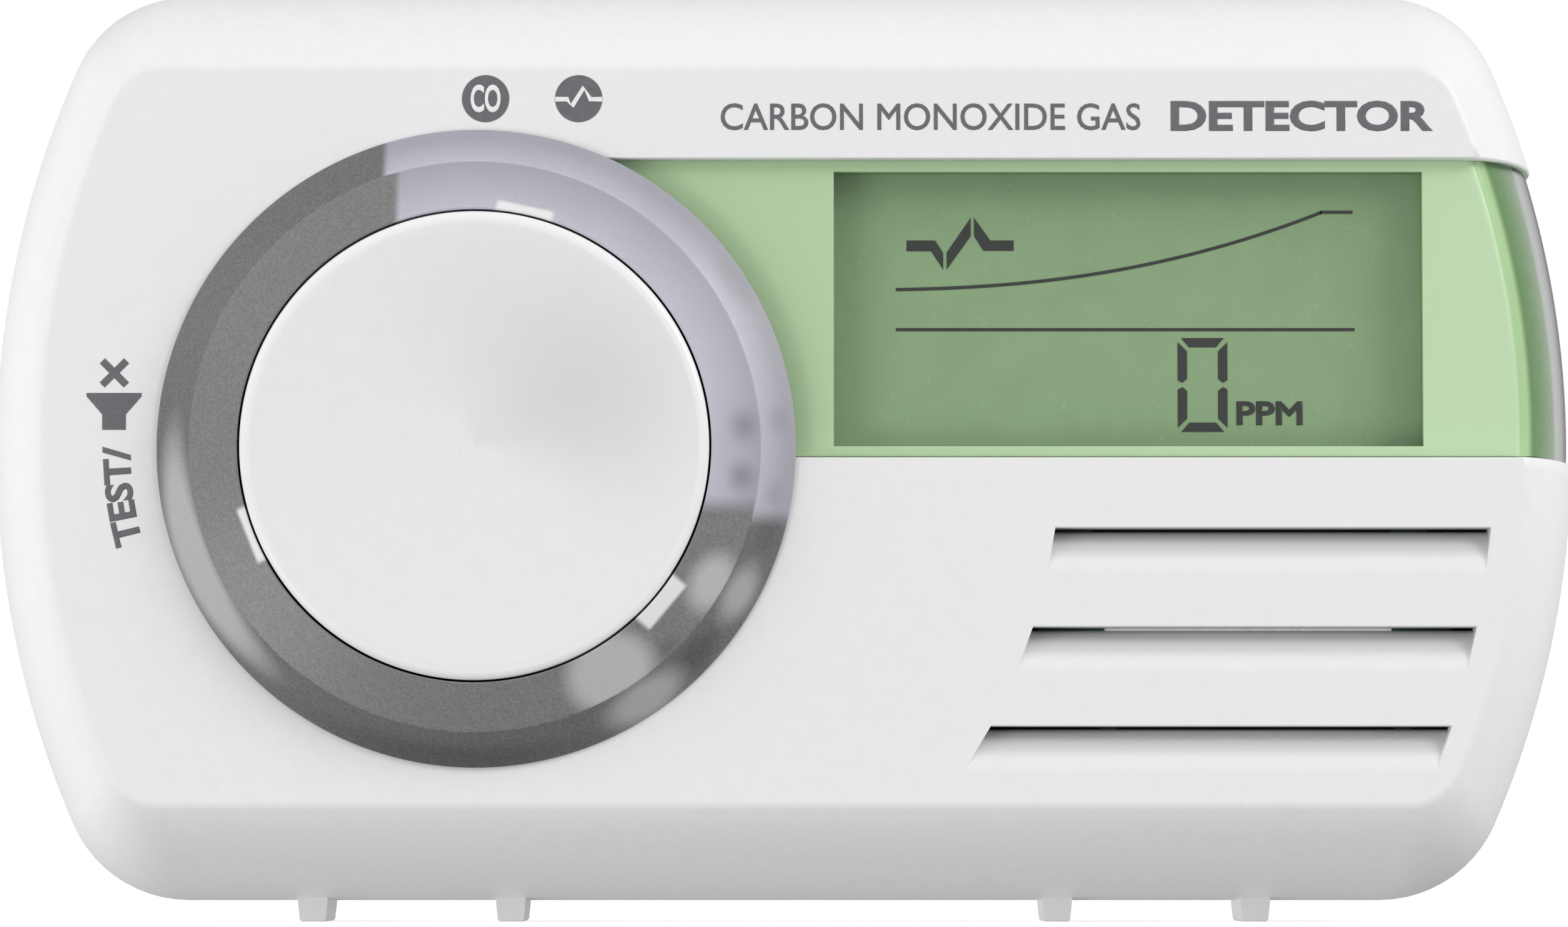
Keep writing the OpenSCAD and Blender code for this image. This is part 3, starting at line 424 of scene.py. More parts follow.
vent_bottoms = [vent_middle + i * vent_pitch - vent_h / 2 for i in (-1, 0, 1)]
blades, scoops = zip(*[vent_tools(z) for z in vent_bottoms])
carve(front_shell, blades, "UNION")
window_tool = slab("window_tool", [band(-0.3 * MM, 0.45 * MM), band(0.15 * MM, 0.0),
                                   band(wall + 0.8 * MM, 0.0)])
front, back = face_y - MM, face_y + 4 * MM
bore = [(0, front), (bore_r, front), (bore_r, back), (0, back)]
bore_tool = turned("bore_tool", bore, ring_x, ring_z)
carve(front_shell, [window_tool, bore_tool, *scoops])


def foot(x):
    """A small drafted foot: a wedge of rings from the floor up into the casing's belly. Each level is
    a height, a half width and how far both ends stand in, in millimetres."""
    y0, y1 = seam_y - 12 * MM, seam_y - 0.5 * MM
    levels = [(0.0, 0.82, 0.15), (0.15, 0.97, 0.0), (1.0, 1.07, 0.0), (2.6, 1.2, 0.0)]
    rings = []
    for h, half, end in np.array(levels) * MM:
        rings.append([(x - half, y0 + end, h), (x + half, y0 + end, h),
                      (x + half, y1 - end, h), (x - half, y1 - end, h)])
    return new_piece("foot", rings, loft_faces(4, 4))


feet = [foot(x * MM) for x in (-35.7, -20.7, 20.7, 35.7)]
seam = seam_y / MM
post = np.array([(1.1, 6), (1.1, seam - 0.2), (3.2, seam - 0.2), (3.2, -8), (1.1, -8)]) * MM
screw_high, screw_head_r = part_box("case_screws")[1], 2.7 * MM
post_x, post_z = screw_high[0] - screw_head_r, screw_high[2] - screw_head_r - mid_z
screw_places = [(x * post_x, mid_z + z * post_z) for x in (-1, 1) for z in (-1, 1)]
posts = [turned("post", post, x, z, 32) for x, z in screw_places]
front_casing = join("front_casing_body", [front_shell, *feet, *posts])
shade(front_casing)


def product(made, *values):
    """All the values multiplied together."""
    whole = values[0]
    for value in values[1:]:
        whole = sum_of(made, "MULTIPLY", whole, value)
    return whole


def span(made, u, v):
    """The length of a line that runs u one way and v the other: the root of their squares' sum."""
    return sum_of(made, "SQRT", sum_of(made, "ADD", product(made, u, u), product(made, v, v)))


def place_on(made):
    """The piece's own coordinates, in metres."""
    return made.node_tree.nodes.new("ShaderNodeTexCoord").outputs["Object"]


def spread(made, value, low, high, to_low=0.0, to_high=1.0):
    """A value between low and high, spread evenly from to_low to to_high."""
    return node(made, "ShaderNodeMapRange", Value=value, From_Min=low, From_Max=high,
                To_Min=to_low, To_Max=to_high).outputs["Result"]


def grain(made, scale, low, high, detail=2.0, rough=0.6):
    """Noise of the given scale, spread from low to high."""
    noise = node(made, "ShaderNodeTexNoise", Vector=place_on(made), Scale=scale, Detail=detail,
                 Roughness=rough)
    return spread(made, noise.outputs["Fac"], 0.3, 0.7, low, high)


def feed(made, socket, source):
    """Links a source to a socket of the Principled node."""
    made.node_tree.links.new(source, made.node_tree.nodes["Principled BSDF"].inputs[socket])


def bumpy(made, scale, strength, distance, detail=2.0):
    """A fine moulded texture on the skin."""
    noise = node(made, "ShaderNodeTexNoise", Vector=place_on(made), Scale=scale, Detail=detail)
    bump = node(made, "ShaderNodeBump", Strength=strength, Distance=distance,
                Height=noise.outputs["Fac"])
    feed(made, "Normal", bump.outputs["Normal"])


def tint(made, factor, colour_a, colour_b):
    """Mixes two colours by factor and returns the colour."""
    mix = made.node_tree.nodes.new("ShaderNodeMix")
    mix.data_type = "RGBA"
    for index, value in ((0, factor), (6, colour_a), (7, colour_b)):
        if isinstance(value, bpy.types.NodeSocket):
            made.node_tree.links.new(value, mix.inputs[index])
        else:
            mix.inputs[index].default_value = value if index == 0 else (*value, 1.0)
    return mix.outputs[2]


def mottled(made, scale, colour_a, colour_b):
    """A colour that drifts between two, in grains of the given scale."""
    return tint(made, grain(made, scale, 0.0, 1.0), colour_a, colour_b)


def ramp(made, value, low, high):
    """Smooth step of value from 0 at low to 1 at high."""
    step = node(made, "ShaderNodeMapRange", Value=value, From_Min=low, From_Max=high)
    step.interpolation_type = "SMOOTHSTEP"
    return step.outputs["Result"]


def paint(piece, finish):
    """Gives a piece one finish all over."""
    piece.data.materials.clear()
    piece.data.materials.append(finish)


# Painted shade greys the front of the vents' scoops, where the lip above each one hides the light.
# It lies between the left ends, the arc along the side and the top and bottom vents, and thins out
# with depth.
casing_white = material("casing_white_satin", (0.86, 0.86, 0.865), 0.42)
at = node(casing_white, "ShaderNodeSeparateXYZ", Vector=place_on(casing_white)).outputs
from_side_axis = span(casing_white, sum_of(casing_white, "SUBTRACT", at["X"], half_w - side_r),
                      sum_of(casing_white, "SUBTRACT", at["Z"], mid_z))
scoop_shade_left, scoop_shade_r = 13 * MM, side_r - vent_margin + 0.4 * MM
scoop_shade_low, scoop_shade_high = vent_bottoms[0] - 0.7 * MM, vent_bottoms[-1] + vent_h + 2.4 * MM
scoop_shade = product(casing_white, ramp(casing_white, at["X"], scoop_shade_left, scoop_shade_left + MM),
               ramp(casing_white, from_side_axis, scoop_shade_r, scoop_shade_r - 0.1 * MM),
               ramp(casing_white, at["Z"], scoop_shade_low, scoop_shade_low + 0.3 * MM),
               ramp(casing_white, at["Z"], scoop_shade_high, scoop_shade_high - 0.4 * MM),
               ramp(casing_white, at["Y"], face_y + 6 * MM, face_y + 5 * MM),
               ramp(casing_white, at["Y"], face_y, face_y + 0.6 * MM),
               sum_of(casing_white, "MULTIPLY_ADD",
                      ramp(casing_white, at["Y"], face_y + 0.6 * MM, face_y + 2.2 * MM), -0.7, 1.0))
unshaded_white = mottled(casing_white, 900, (0.88, 0.88, 0.885), (0.90, 0.90, 0.905))
# The grey mixed in here is painted shade in the scoops.
feed(casing_white, "Base Color", tint(casing_white, scoop_shade, unshaded_white, (0.66, 0.66, 0.665)))
feed(casing_white, "Roughness", grain(casing_white, 1400, 0.38, 0.47))
bumpy(casing_white, 2600, 0.06, 0.00003)
paint(front_casing, casing_white)
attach(front_casing, "casing")
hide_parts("front_casing")

# ---------------------------------------------------------------------------------------------
# Rear casing: the same white plastic, a shallow tray with a rounded rear edge. It has two
# keyholes with pockets for screw heads, four screw wells, a slot and a shallow label recess.

rear_edge_r, rear_inset = 3 * MM, 2 * draft
hollow_r = rear_edge_r - wall
edge_y, first_y = rear_y - rear_edge_r, seam_y + 0.1 * MM
a = np.linspace(0, math.pi / 2, 10)
outer, inner = (np.stack([0 * a, rear_inset + rear_edge_r - r * np.cos(a), edge_y + r * np.sin(a)],
                         axis=1) for r in (rear_edge_r, hollow_r))
edge = [[0, draft + wall, first_y], [0, draft + 0.15 * MM, first_y],
        [0, draft + 0.02 * MM, first_y + 0.2 * MM]]
rings = body_rings(np.concatenate([inner[::-1], edge, outer]))
rear_casing = new_piece("rear_casing_body", rings, loft_faces(*rings.shape[:2]))

keyhole_x, keyhole_z, keyhole_run = 30 * MM, mid_z + 16 * MM, 7 * MM
pocket_y = rear_y - wall - 5.5 * MM


def keyhole_tool(x):
    """The outline of a keyhole: a round entry and a slot that ends in a smaller round."""
    big, small = 4.25 * MM, 2.2 * MM
    meet = math.asin(small / big)
    a = np.linspace(math.pi / 2 + meet, 2.5 * math.pi - meet, 48)
    b = np.linspace(0, math.pi, 24)
    px = np.concatenate([x + big * np.cos(a), x + small * np.cos(b)])
    pz = np.concatenate([keyhole_z + big * np.sin(a), keyhole_z + keyhole_run + small * np.sin(b)])
    ends = (rear_y - wall - MM, rear_y + MM)
    rings = np.stack([np.stack([px, np.full(px.shape, y), pz], axis=1) for y in ends])
    return new_piece("keyhole_tool", rings, loft_faces(2, len(px)))


def round_tool(name, place, corners, count):
    """A turned tool at a place (x, z), from its corners (radius, y) in millimetres."""
    return turned(name, np.array(corners) * MM, *place, count)


tools, pads = [], []
pocket_r = 5.25 * MM
for x in (-keyhole_x, keyhole_x):
    low = np.array([x - pocket_r, pocket_y, keyhole_z - pocket_r])
    high = np.array([x + pocket_r, rear_y - wall, keyhole_z + keyhole_run + pocket_r])
    pads.append(block("pocket_pad", low - 1.2 * MM, high + [1.2 * MM, 0.6 * MM, 1.2 * MM]))
    tools += [block("pocket_tool", low, high), keyhole_tool(x)]
rear = rear_y / MM
for place in screw_places:
    pads.append(round_tool("well_pad", place, [(0, seam + 0.1), (4.2, seam + 0.1), (4.2, rear - 0.6),
                                               (0, rear - 0.6)], 48))
    tools += [round_tool("well_tool", place, [(0, seam + 5), (3.0, seam + 5), (3.0, rear - 0.2),
                                              (3.9, rear + 0.7), (0, rear + 0.7)], 64),
              round_tool("hole_tool", place, [(0, seam - 1), (1.6, seam - 1), (1.6, seam + 6),
                                              (0, seam + 6)], 32)]
label_low, label_high = (np.array(c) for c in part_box("rear_label"))
label_gap, label_sunk = 0.3 * MM, 0.4 * MM
tools.append(block("label_tool",
                   (label_low[0] - label_gap, rear_y - label_sunk, label_low[2] - label_gap),
                   (label_high[0] + label_gap, rear_y + MM, label_high[2] + label_gap)))
slot_x, slot_z = -3.5 * MM, mid_z + half_h - 12.5 * MM
slot_half_w, slot_half_h = 3.4 * MM, 2.2 * MM
tools.append(block("slot_tool", (slot_x - slot_half_w, rear_y - 3 * MM, slot_z - slot_half_h),
                   (slot_x + slot_half_w, rear_y + MM, slot_z + slot_half_h)))
carve(rear_casing, pads, "UNION")
carve(rear_casing, tools)
shade(rear_casing)
paint(rear_casing, casing_white)
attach(rear_casing, "casing")
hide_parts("rear_casing")

# ---------------------------------------------------------------------------------------------
# Green bezel: light green satin plastic, moulded to lie behind the window. It follows the casing's
# form, with a softer crease, and has a square-cut opening over the display.

bezel_s, bezel_t, bezel_gap, bezel_soft = 1.12 * MM, 1.78 * MM, 0.1 * MM, 1.2 * MM
bezel = slab("display_surround", [band(s, -bezel_gap, n_flat=6, soften=bezel_soft)
                                  for s in (bezel_s, bezel_s + bezel_t)])
view_left, view_right, view_z, view_half_h = 3.7 * MM, 47.5 * MM, mid_z + 9.45 * MM, 10.25 * MM
carve(bezel, [block("view_tool", (view_left, face_y - MM, view_z - view_half_h),
                    (view_right, face_y + 5 * MM, view_z + view_half_h))])
shade(bezel, 40)
# Painted shade: the green is lighter to the right, and deepens in two steps round the bend, where
# the bezel turns away from the light.
bezel_green = material("bezel_light_green", (0.5, 0.66, 0.42), 0.38)
at = node(bezel_green, "ShaderNodeSeparateXYZ", Vector=place_on(bezel_green)).outputs
bend_y = face_y + bezel_s
green = tint(bezel_green, spread(bezel_green, at["X"], -10 * MM, 50 * MM), (0.505, 0.67, 0.41),
             (0.61, 0.785, 0.515))
# Both deeper greens are painted shade round the bend.
for start, end, colour in ((0.02, 0.2, (0.43, 0.635, 0.335)), (0.55, 1.2, (0.095, 0.225, 0.055))):
    bend_shade = ramp(bezel_green, at["Y"], bend_y + start * MM, bend_y + end * MM)
    green = tint(bezel_green, bend_shade, green, colour)
feed(bezel_green, "Base Color", green)
feed(bezel_green, "Roughness", grain(bezel_green, 1500, 0.34, 0.44))
bumpy(bezel_green, 3000, 0.05, 0.00003)
paint(bezel, bezel_green)
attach(bezel, "casing")
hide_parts("display_bezel")

# ---------------------------------------------------------------------------------------------
# Display window: thin clear plastic that wraps round the right side, set a little below the
# casing's skin. Shadows and soft light pass straight through it, so the display stays evenly lit.

lens_front, lens_back, lens_gap = 0.4 * MM, 1.0 * MM, 0.1 * MM
lens = slab("window_lens", [band(s, -lens_gap, soften=0.9 * MM) for s in (lens_front, lens_back)])
shade(lens, 40)
clear = material("clear_acrylic", (0.97, 0.985, 0.97), 0.03, IOR=1.2, Transmission_Weight=1.0)
feed(clear, "Roughness", grain(clear, 400, 0.02, 0.04))
rays = node(clear, "ShaderNodeLightPath").outputs
bare = node(clear, "ShaderNodeBsdfTransparent", Color=(0.95, 0.97, 0.95, 1.0))
either = node(clear, "ShaderNodeMixShader", i1=clear.node_tree.nodes["Principled BSDF"].outputs[0],
              i0=sum_of(clear, "MAXIMUM", rays["Is Shadow Ray"], rays["Is Diffuse Ray"]),
              i2=bare.outputs[0])
clear.node_tree.links.new(either.outputs[0], clear.node_tree.nodes["Material Output"].inputs["Surface"])
paint(lens, clear)
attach(lens, "casing")
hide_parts("display_window")

# ---------------------------------------------------------------------------------------------
# Indicator ring: frosted smoke-grey plastic that light shines through, moulded with two sloping
# facets and pushed into the casing's bore. Where a pale backing lies behind it, top right, it looks
# lavender. Painted highlights, reflections and shadows lie on it as soft light and dark spots.

ring_bore, ring_fold_r, ring_r, ring_neck_r = 17.46 * MM, 21.1 * MM, 23.675 * MM, 19.7 * MM
top_y, fold_y, back_y = face_y - 3.7 * MM, face_y - 2.4 * MM, face_y + 3.5 * MM
ring_profile = [(ring_bore, top_y + 0.12 * MM), (ring_bore + 0.12 * MM, top_y + 0.02 * MM),
                (ring_fold_r - 0.15 * MM, fold_y - 0.05 * MM),
                (ring_fold_r + 0.1 * MM, fold_y + 0.09 * MM),
                (ring_r - 0.1 * MM, face_y - 0.42 * MM), (ring_r, face_y - 0.28 * MM), (ring_r, face_y),
                (ring_neck_r, face_y), (ring_neck_r, back_y), (ring_bore, back_y)]
ring = turned("frosted_ring", ring_profile, ring_x, ring_z, 256)
shade(ring, 25)
smoke = material("frosted_smoke", (0.16, 0.16, 0.165), 0.36)


def polar(made):
    """Offsets in x and z from the ring's axis, then the radius and angle about it."""
    at = node(made, "ShaderNodeSeparateXYZ", Vector=place_on(made)).outputs
    px, pz = sum_of(made, "SUBTRACT", at["X"], ring_x), sum_of(made, "SUBTRACT", at["Z"], ring_z)
    return px, pz, span(made, px, pz), sum_of(made, "ARCTAN2", pz, px)


def soft_spot(made, radius, angle, degrees, r, long, wide, core=0.0):
    """A soft oval that runs round the ring's axis, r millimetres out: 1 in its core, falling to 0 at
    its edge, which is long to each side and wide inwards and outwards."""
    turn = sum_of(made, "SUBTRACT", angle, math.radians(degrees))
    turn = sum_of(made, "WRAP", turn, math.pi, -math.pi)
    along = product(made, turn, r / long)
    across = sum_of(made, "DIVIDE", sum_of(made, "SUBTRACT", radius, r * MM), wide * MM)
    return ramp(made, span(made, along, across), 1.0, core)


def all_spots(made, radius, angle, spots):
    """The sum of several soft spots, each given as degrees, radius, half length, half width, core
    and amount."""
    total = 0.0
    for degrees, r, long, wide, core, amount in spots:
        spot = soft_spot(made, radius, angle, degrees, r, long, wide, core)
        total = sum_of(made, "MULTIPLY_ADD", spot, amount, total)
    return total


px, pz, radius, angle = polar(smoke)
on_outer = ramp(smoke, radius, ring_fold_r - 0.05 * MM, ring_fold_r + 0.05 * MM)
on_inner = sum_of(smoke, "SUBTRACT", 1.0, on_outer)
speckle = grain(smoke, 5200, 0.0, 1.0, 1.0)
# Painted shade: the outer facet is a lighter grey than the inner one, for the way the two facets take
# the light.
grey = tint(smoke, on_outer, tint(smoke, speckle, (0.185, 0.185, 0.188), (0.25, 0.25, 0.253)),
            tint(smoke, speckle, (0.136, 0.136, 0.139), (0.194, 0.194, 0.197)))
# Painted highlights on the inner facet and painted reflections streaking the outer facet lighten it.
# Painted shadows darken other spots, the longest along the outer edge at the bottom.
painted_light_spots = all_spots(smoke, radius, angle, (
    (301, 19.4, 4.3, 3.6, 0.5, 0.5), (330, 20.2, 3.3, 2.3, 0.3, 0.5)))
painted_reflections = all_spots(smoke, radius, angle, (
    (304, 22.5, 4.6, 1.9, 0.3, 0.4), (331, 22.3, 3.4, 1.6, 0.2, 0.4),
    (202, 22.3, 12.5, 1.7, 0.45, 0.5)))
painted_shadows = all_spots(smoke, radius, angle, (
    (317, 22.4, 3.2, 1.5, 0.2, 0.4), (345, 22.6, 3.4, 1.4, 0.0, 0.25), (314, 20.6, 1.6, 0.9, 0.0, 0.25),
    (265, 23.2, 16.0, 1.7, 0.2, 0.35)))
light = sum_of(smoke, "ADD", product(smoke, painted_reflections, on_outer), product(smoke, painted_light_spots, on_inner))
plain = tint(smoke, light, tint(smoke, painted_shadows, grey, (0.03, 0.03, 0.032)), (0.8, 0.8, 0.8))

# The lavender part darkens outwards over each facet. It starts at two straight edges, which step
# where the facets meet.
step_x = sum_of(smoke, "MULTIPLY_ADD", on_outer, MM, px)
step_z = sum_of(smoke, "MULTIPLY_ADD", on_outer, 0.9 * MM, pz)
backed = product(smoke, ramp(smoke, step_x, -6.1 * MM, -5.4 * MM),
                 ramp(smoke, step_z, -5.2 * MM, -3.5 * MM))
share = node(smoke, "ShaderNodeMix", i0=on_outer, i2=spread(smoke, radius, ring_bore, ring_fold_r),
             i3=spread(smoke, radius, ring_fold_r, ring_r, 0.1, 1.3)).outputs[0]
# Soft darker spots lie on the lavender.
lavender_dark_spots = all_spots(smoke, radius, angle, (
    (4.3, 19.9, 1.9, 1.7, 0.0, 0.5), (-6.5, 19.8, 1.7, 1.6, 0.0, 0.5), (33, 22.9, 3.2, 1.6, 0.3, 0.2),
    (5, 22.4, 1.8, 1.2, 0.0, 0.25), (-9, 22.3, 1.7, 1.1, 0.0, 0.2)))
lavender = tint(smoke, share, (0.575, 0.565, 0.645), (0.40, 0.388, 0.446))
for cloud in (grain(smoke, 260, 0.0, 0.1, 3.0), product(smoke, speckle, 0.12)):
    lavender = tint(smoke, cloud, lavender, (0.3, 0.3, 0.33))
lavender = tint(smoke, lavender_dark_spots, lavender, (0.16, 0.16, 0.18))

# The button's lugs show through the ring's inner edge as short white bars.
lug_angles, bar_ends = (78, 202, 320), (18.25, 18.15, 18.8)
bar_start, bar_half_w = 16.0 * MM, 2.35 * MM
bars = 0.0
for degrees, end in zip(lug_angles, bar_ends):
    c, s = math.cos(math.radians(degrees)), math.sin(math.radians(degrees))
    out = sum_of(smoke, "ADD", product(smoke, px, c), product(smoke, pz, s))
    side = sum_of(smoke, "SUBTRACT", product(smoke, pz, c), product(smoke, px, s))
    side = sum_of(smoke, "ABSOLUTE", side)
    bar = product(smoke, ramp(smoke, side, bar_half_w, bar_half_w - 0.5 * MM),
                  ramp(smoke, out, end * MM, (end - 0.35) * MM),
                  ramp(smoke, out, bar_start, bar_start + 0.1 * MM))
    bars = sum_of(smoke, "ADD", bars, bar, clamp=True)
body = tint(smoke, backed, plain, lavender)
feed(smoke, "Base Color", tint(smoke, bars, body, (0.85, 0.85, 0.86)))
feed(smoke, "Roughness", grain(smoke, 3000, 0.32, 0.42))
bumpy(smoke, 6000, 0.12, 0.00002)
paint(ring, smoke)
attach(ring, "casing")
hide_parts("indicator_ring")

# ---------------------------------------------------------------------------------------------
# Test button: glossier white plastic, a shallow dish inside a narrow rounded rim, with a skirt
# and three lugs that hold it in the ring.

button_r, button_top, dish = 17.3 * MM, face_y - 4 * MM, 0.8 * MM
rim_w, rim_round, rim_drop = 0.9 * MM, 0.75 * MM, 0.5 * MM
r = np.linspace(0, 1, 30)
bowl = np.stack([r * (button_r - rim_w), button_top + dish * (1 - r**2) * 0.98], axis=1)
a = np.linspace(0.35, math.pi / 2, 8)
rim = np.stack([button_r - rim_round + rim_round * np.sin(a),
                button_top + rim_drop - rim_drop * np.cos(a)], axis=1)
stem_y = min(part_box("switch_plunger")[0][1] - 0.05 * MM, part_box("test_button")[1][1])
inside = np.array([(17.3, 2.9), (15.9, 2.9), (15.9, -1.6), (7.5, -1.6), (7.5, -0.1), (6.3, -0.1),
                   (6.3, -1.6), (2.4, -1.6)]) * MM + [0, face_y]
profile = np.concatenate([bowl, rim, inside, [(2.4 * MM, stem_y), (0, stem_y)]])
button = turned("dished_button", profile, ring_x, ring_z, 256)
lug_low = np.array([16.8, 1.2, -2.3]) * MM + [0, face_y, 0]
lug_high = np.array([18.6, 2.5, 2.3]) * MM + [0, face_y, 0]
lugs = []
for degrees in lug_angles:
    c, s = math.cos(math.radians(degrees)), math.sin(math.radians(degrees))
    lug = block("lug", lug_low, lug_high)
    u, y, v = np.array([corner.co for corner in lug.data.vertices]).T
    corners = np.stack([ring_x + u * c - v * s, y, ring_z + u * s + v * c], axis=1)
    lug.data.vertices.foreach_set("co", corners.ravel())
    lugs.append(lug)
button = join("dished_test_button", [button, *lugs])
shade(button, 40, weighted=False)
button_white = material("button_white_gloss", (0.87, 0.87, 0.87), 0.3)
radius, angle = polar(button_white)[2:]
# Painted shade greys the dish above and to the right of its middle, and the rim is painted lighter as a
# highlight.
dish_shade = all_spots(button_white, radius, angle, (
    (52, 6.5, 12, 15, 0.0, 0.55), (18, 10, 11, 12, 0.0, 0.45)))
white = mottled(button_white, 700, (0.865, 0.865, 0.867), (0.885, 0.885, 0.887))
white = tint(button_white, dish_shade, white, (0.72, 0.72, 0.725))
rim_highlight = ramp(button_white, radius, button_r - rim_w, button_r - 0.6 * MM)
feed(button_white, "Base Color", tint(button_white, rim_highlight, white, (0.92, 0.92, 0.92)))
feed(button_white, "Roughness", grain(button_white, 1200, 0.27, 0.34))
bumpy(button_white, 2400, 0.04, 0.00003)
paint(button, button_white)
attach(button, "button")
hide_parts("test_button")

# ---------------------------------------------------------------------------------------------
# Button spring: bright spring-steel wire, wound in a coil between the board and the button. It
# moves with the casing and keeps its length when the button is pressed.

coil = bpy.data.objects.new("coiled_spring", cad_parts["button_spring"].data.copy())
bpy.context.scene.collection.objects.link(coil)
mend(coil.data, merge=True, outwards=False)
shade(coil, 60, weighted=False)
spring_steel = material("spring_steel_wire", (0.6, 0.6, 0.62), 0.25, Metallic=1.0)
feed(spring_steel, "Roughness", grain(spring_steel, 1500, 0.2, 0.32))
bumpy(spring_steel, 3000, 0.08, 0.00002)
paint(coil, spring_steel)
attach(coil, "casing")
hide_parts("button_spring")
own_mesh(coil)

# ---------------------------------------------------------------------------------------------
# Display: a liquid crystal panel, a plain grey-green field with dark segments in it: a pulse
# mark, a rising curve, a base line, one digit and its unit.

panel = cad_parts["lcd_panel"]
panel_glass = material("display_field", (0.28, 0.40, 0.22), 0.24)
feed(panel_glass, "Base Color", mottled(panel_glass, 300, (0.275, 0.395, 0.225), (0.295, 0.42, 0.24)))
feed(panel_glass, "Roughness", grain(panel_glass, 900, 0.2, 0.28))
paint(panel, panel_glass)
ink_y, ink_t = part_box("lcd_panel")[0][1] - 0.03 * MM, 0.02 * MM


def plates(name, shapes, y):
    """Flat plates of ink, with their fronts at y: each shape is a list of (x, z) corners in
    millimetres."""
    points, faces = [], []
    for shape in shapes:
        n, first = len(shape), len(points)
        sides = [(i, (i + 1) % n) for i in range(n)]
        points += [(x * MM, depth, z * MM) for depth in (y, y + ink_t) for x, z in shape]
        faces += [list(range(first, first + n)), list(range(first + 2 * n - 1, first + n - 1, -1))]
        faces += [(first + i, first + n + i, first + n + j, first + j) for i, j in sides]
    return new_piece(name, points, faces)


def ribbon(points, width):
    """The outline of a line of even width through points, as quads between them."""
    p = np.array(points, float)
    d = np.gradient(p, axis=0)
    side = np.stack([-d[:, 1], d[:, 0]], axis=1) / np.linalg.norm(d, axis=1)[:, None] * width / 2
    a, b = p + side, p - side
    return [[tuple(a[i]), tuple(a[i + 1]), tuple(b[i + 1]), tuple(b[i])] for i in range(len(p) - 1)]


def digit_zero(x0, z0, x1, z1, w, gap):
    """A seven-segment nought: two half bars at each side and one at the top and bottom."""
    xm, zm, g = (x0 + x1) / 2, (z0 + z1) / 2, gap / 2
    top = [(x0 + g + 0.1, z1), (x1 - g - 0.1, z1), (x1 - w, z1 - w + g), (x0 + w, z1 - w + g)]
    bottom = [(x, 2 * zm - z) for x, z in top]
    left_up = [(x0, z1 - g - 0.15), (x0 + w - g, z1 - w - g), (x0 + w - g, zm + g + w * 0.35),
               (x0 + w * 0.4, zm + g), (x0, zm + g + 0.2)]
    left_down = [(x, 2 * zm - z) for x, z in left_up]
    right_up = [(2 * xm - x, z) for x, z in left_up]
    right_down = [(2 * xm - x, z) for x, z in left_down]
    return [top, bottom, left_up, left_down, right_up, right_down]


x = np.linspace(8.36, 40.21, 40)
t = (x - x[0]) / (x[-1] - x[0])
curve = list(zip(x, 47.2 + 5.81 * (0.1 * t + 0.9 * t**2.3)))
pulse = [[(9.16, 50.89), (11.30, 50.89), (11.90, 49.95), (11.90, 48.70), (11.0, 50.08), (9.16, 50.08)],
         [(12.16, 49.98), (13.96, 52.61), (13.96, 51.2), (12.16, 48.70)],
         [(14.20, 52.61), (14.20, 51.23), (14.90, 50.11), (17.17, 50.11), (17.17, 50.89),
          (15.43, 50.89)]]
shapes = ribbon(curve, 0.25) + [[(40.1, 53.13), (42.52, 53.13), (42.52, 52.89), (40.1, 52.89)]]
shapes += [[(8.36, 44.32), (42.62, 44.32), (42.62, 44.08), (8.36, 44.08)]]
shapes += pulse + digit_zero(29.40, 36.54, 33.11, 43.57, 0.85, 0.3)
segments = plates("display_segments", shapes, ink_y)


def lettering(name, words, x, z, height, width, y, bold=0.0, round_ring=None):
    """Plain lettering as a thin raised mesh, facing the front, its lower left corner at (x, z). bold
    rounds the strokes outwards. round_ring bends the words up along a circle of that radius."""
    text = bpy.data.curves.new(name, "FONT")
    text.body, text.size, text.extrude, text.bevel_depth = words, 1.0, 0.01, bold
    text.bevel_resolution, text.resolution_u = 0, 4
    holder = bpy.data.objects.new(name, text)
    bpy.context.scene.collection.objects.link(holder)
    bpy.context.view_layer.update()
    flat = holder.evaluated_get(bpy.context.evaluated_depsgraph_get())
    mesh = bpy.data.meshes.new_from_object(flat)
    bpy.data.objects.remove(holder)
    p = np.empty(len(mesh.vertices) * 3)
    mesh.vertices.foreach_get("co", p)
    p = p.reshape(-1, 3)
    low, high = p.min(0), p.max(0)
    u = (p[:, 0] - low[0]) * (width / (high[0] - low[0]))
    v = (p[:, 1] - low[1]) * (height / (high[1] - low[1]))
    depth = y - ink_t * (p[:, 2] - low[2]) / (high[2] - low[2])
    if round_ring:
        a = math.pi + (ring_z - z - u) / round_ring
        r = round_ring + v
        p = np.stack([ring_x + r * np.cos(a), depth, ring_z + r * np.sin(a)], axis=1)
    else:
        p = np.stack([x + u, depth, z + v], axis=1)
    mesh.vertices.foreach_set("co", p.ravel())
    mesh.update()
    piece = bpy.data.objects.new(name, mesh)
    bpy.context.scene.collection.objects.link(piece)
    return piece


unit = lettering("display_unit", "PPM", 33.78 * MM, 37.05 * MM, 1.78 * MM, 4.93 * MM, ink_y, bold=0.03)
segments = join("display_segments", [segments, unit])
segment_ink = material("segment_dark", (0.03, 0.03, 0.031), 0.3)
feed(segment_ink, "Base Color", mottled(segment_ink, 900, (0.027, 0.027, 0.028), (0.034, 0.034, 0.035)))
paint(segments, segment_ink)
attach(segments, "casing")

# ---------------------------------------------------------------------------------------------
# Printing on the front casing: thin grey pad-printed marks. A symbol for the gas and one for a
# pulse over their lamps, plain words, and a loudspeaker with a cross beside the button.

print_y = face_y - 0.002 * MM


def disc(x, z, r, n=64):
    """Corners of a round mark."""
    a = np.linspace(0, 2 * math.pi, n, endpoint=False)
    return list(zip(x + r * np.cos(a), z + r * np.sin(a)))


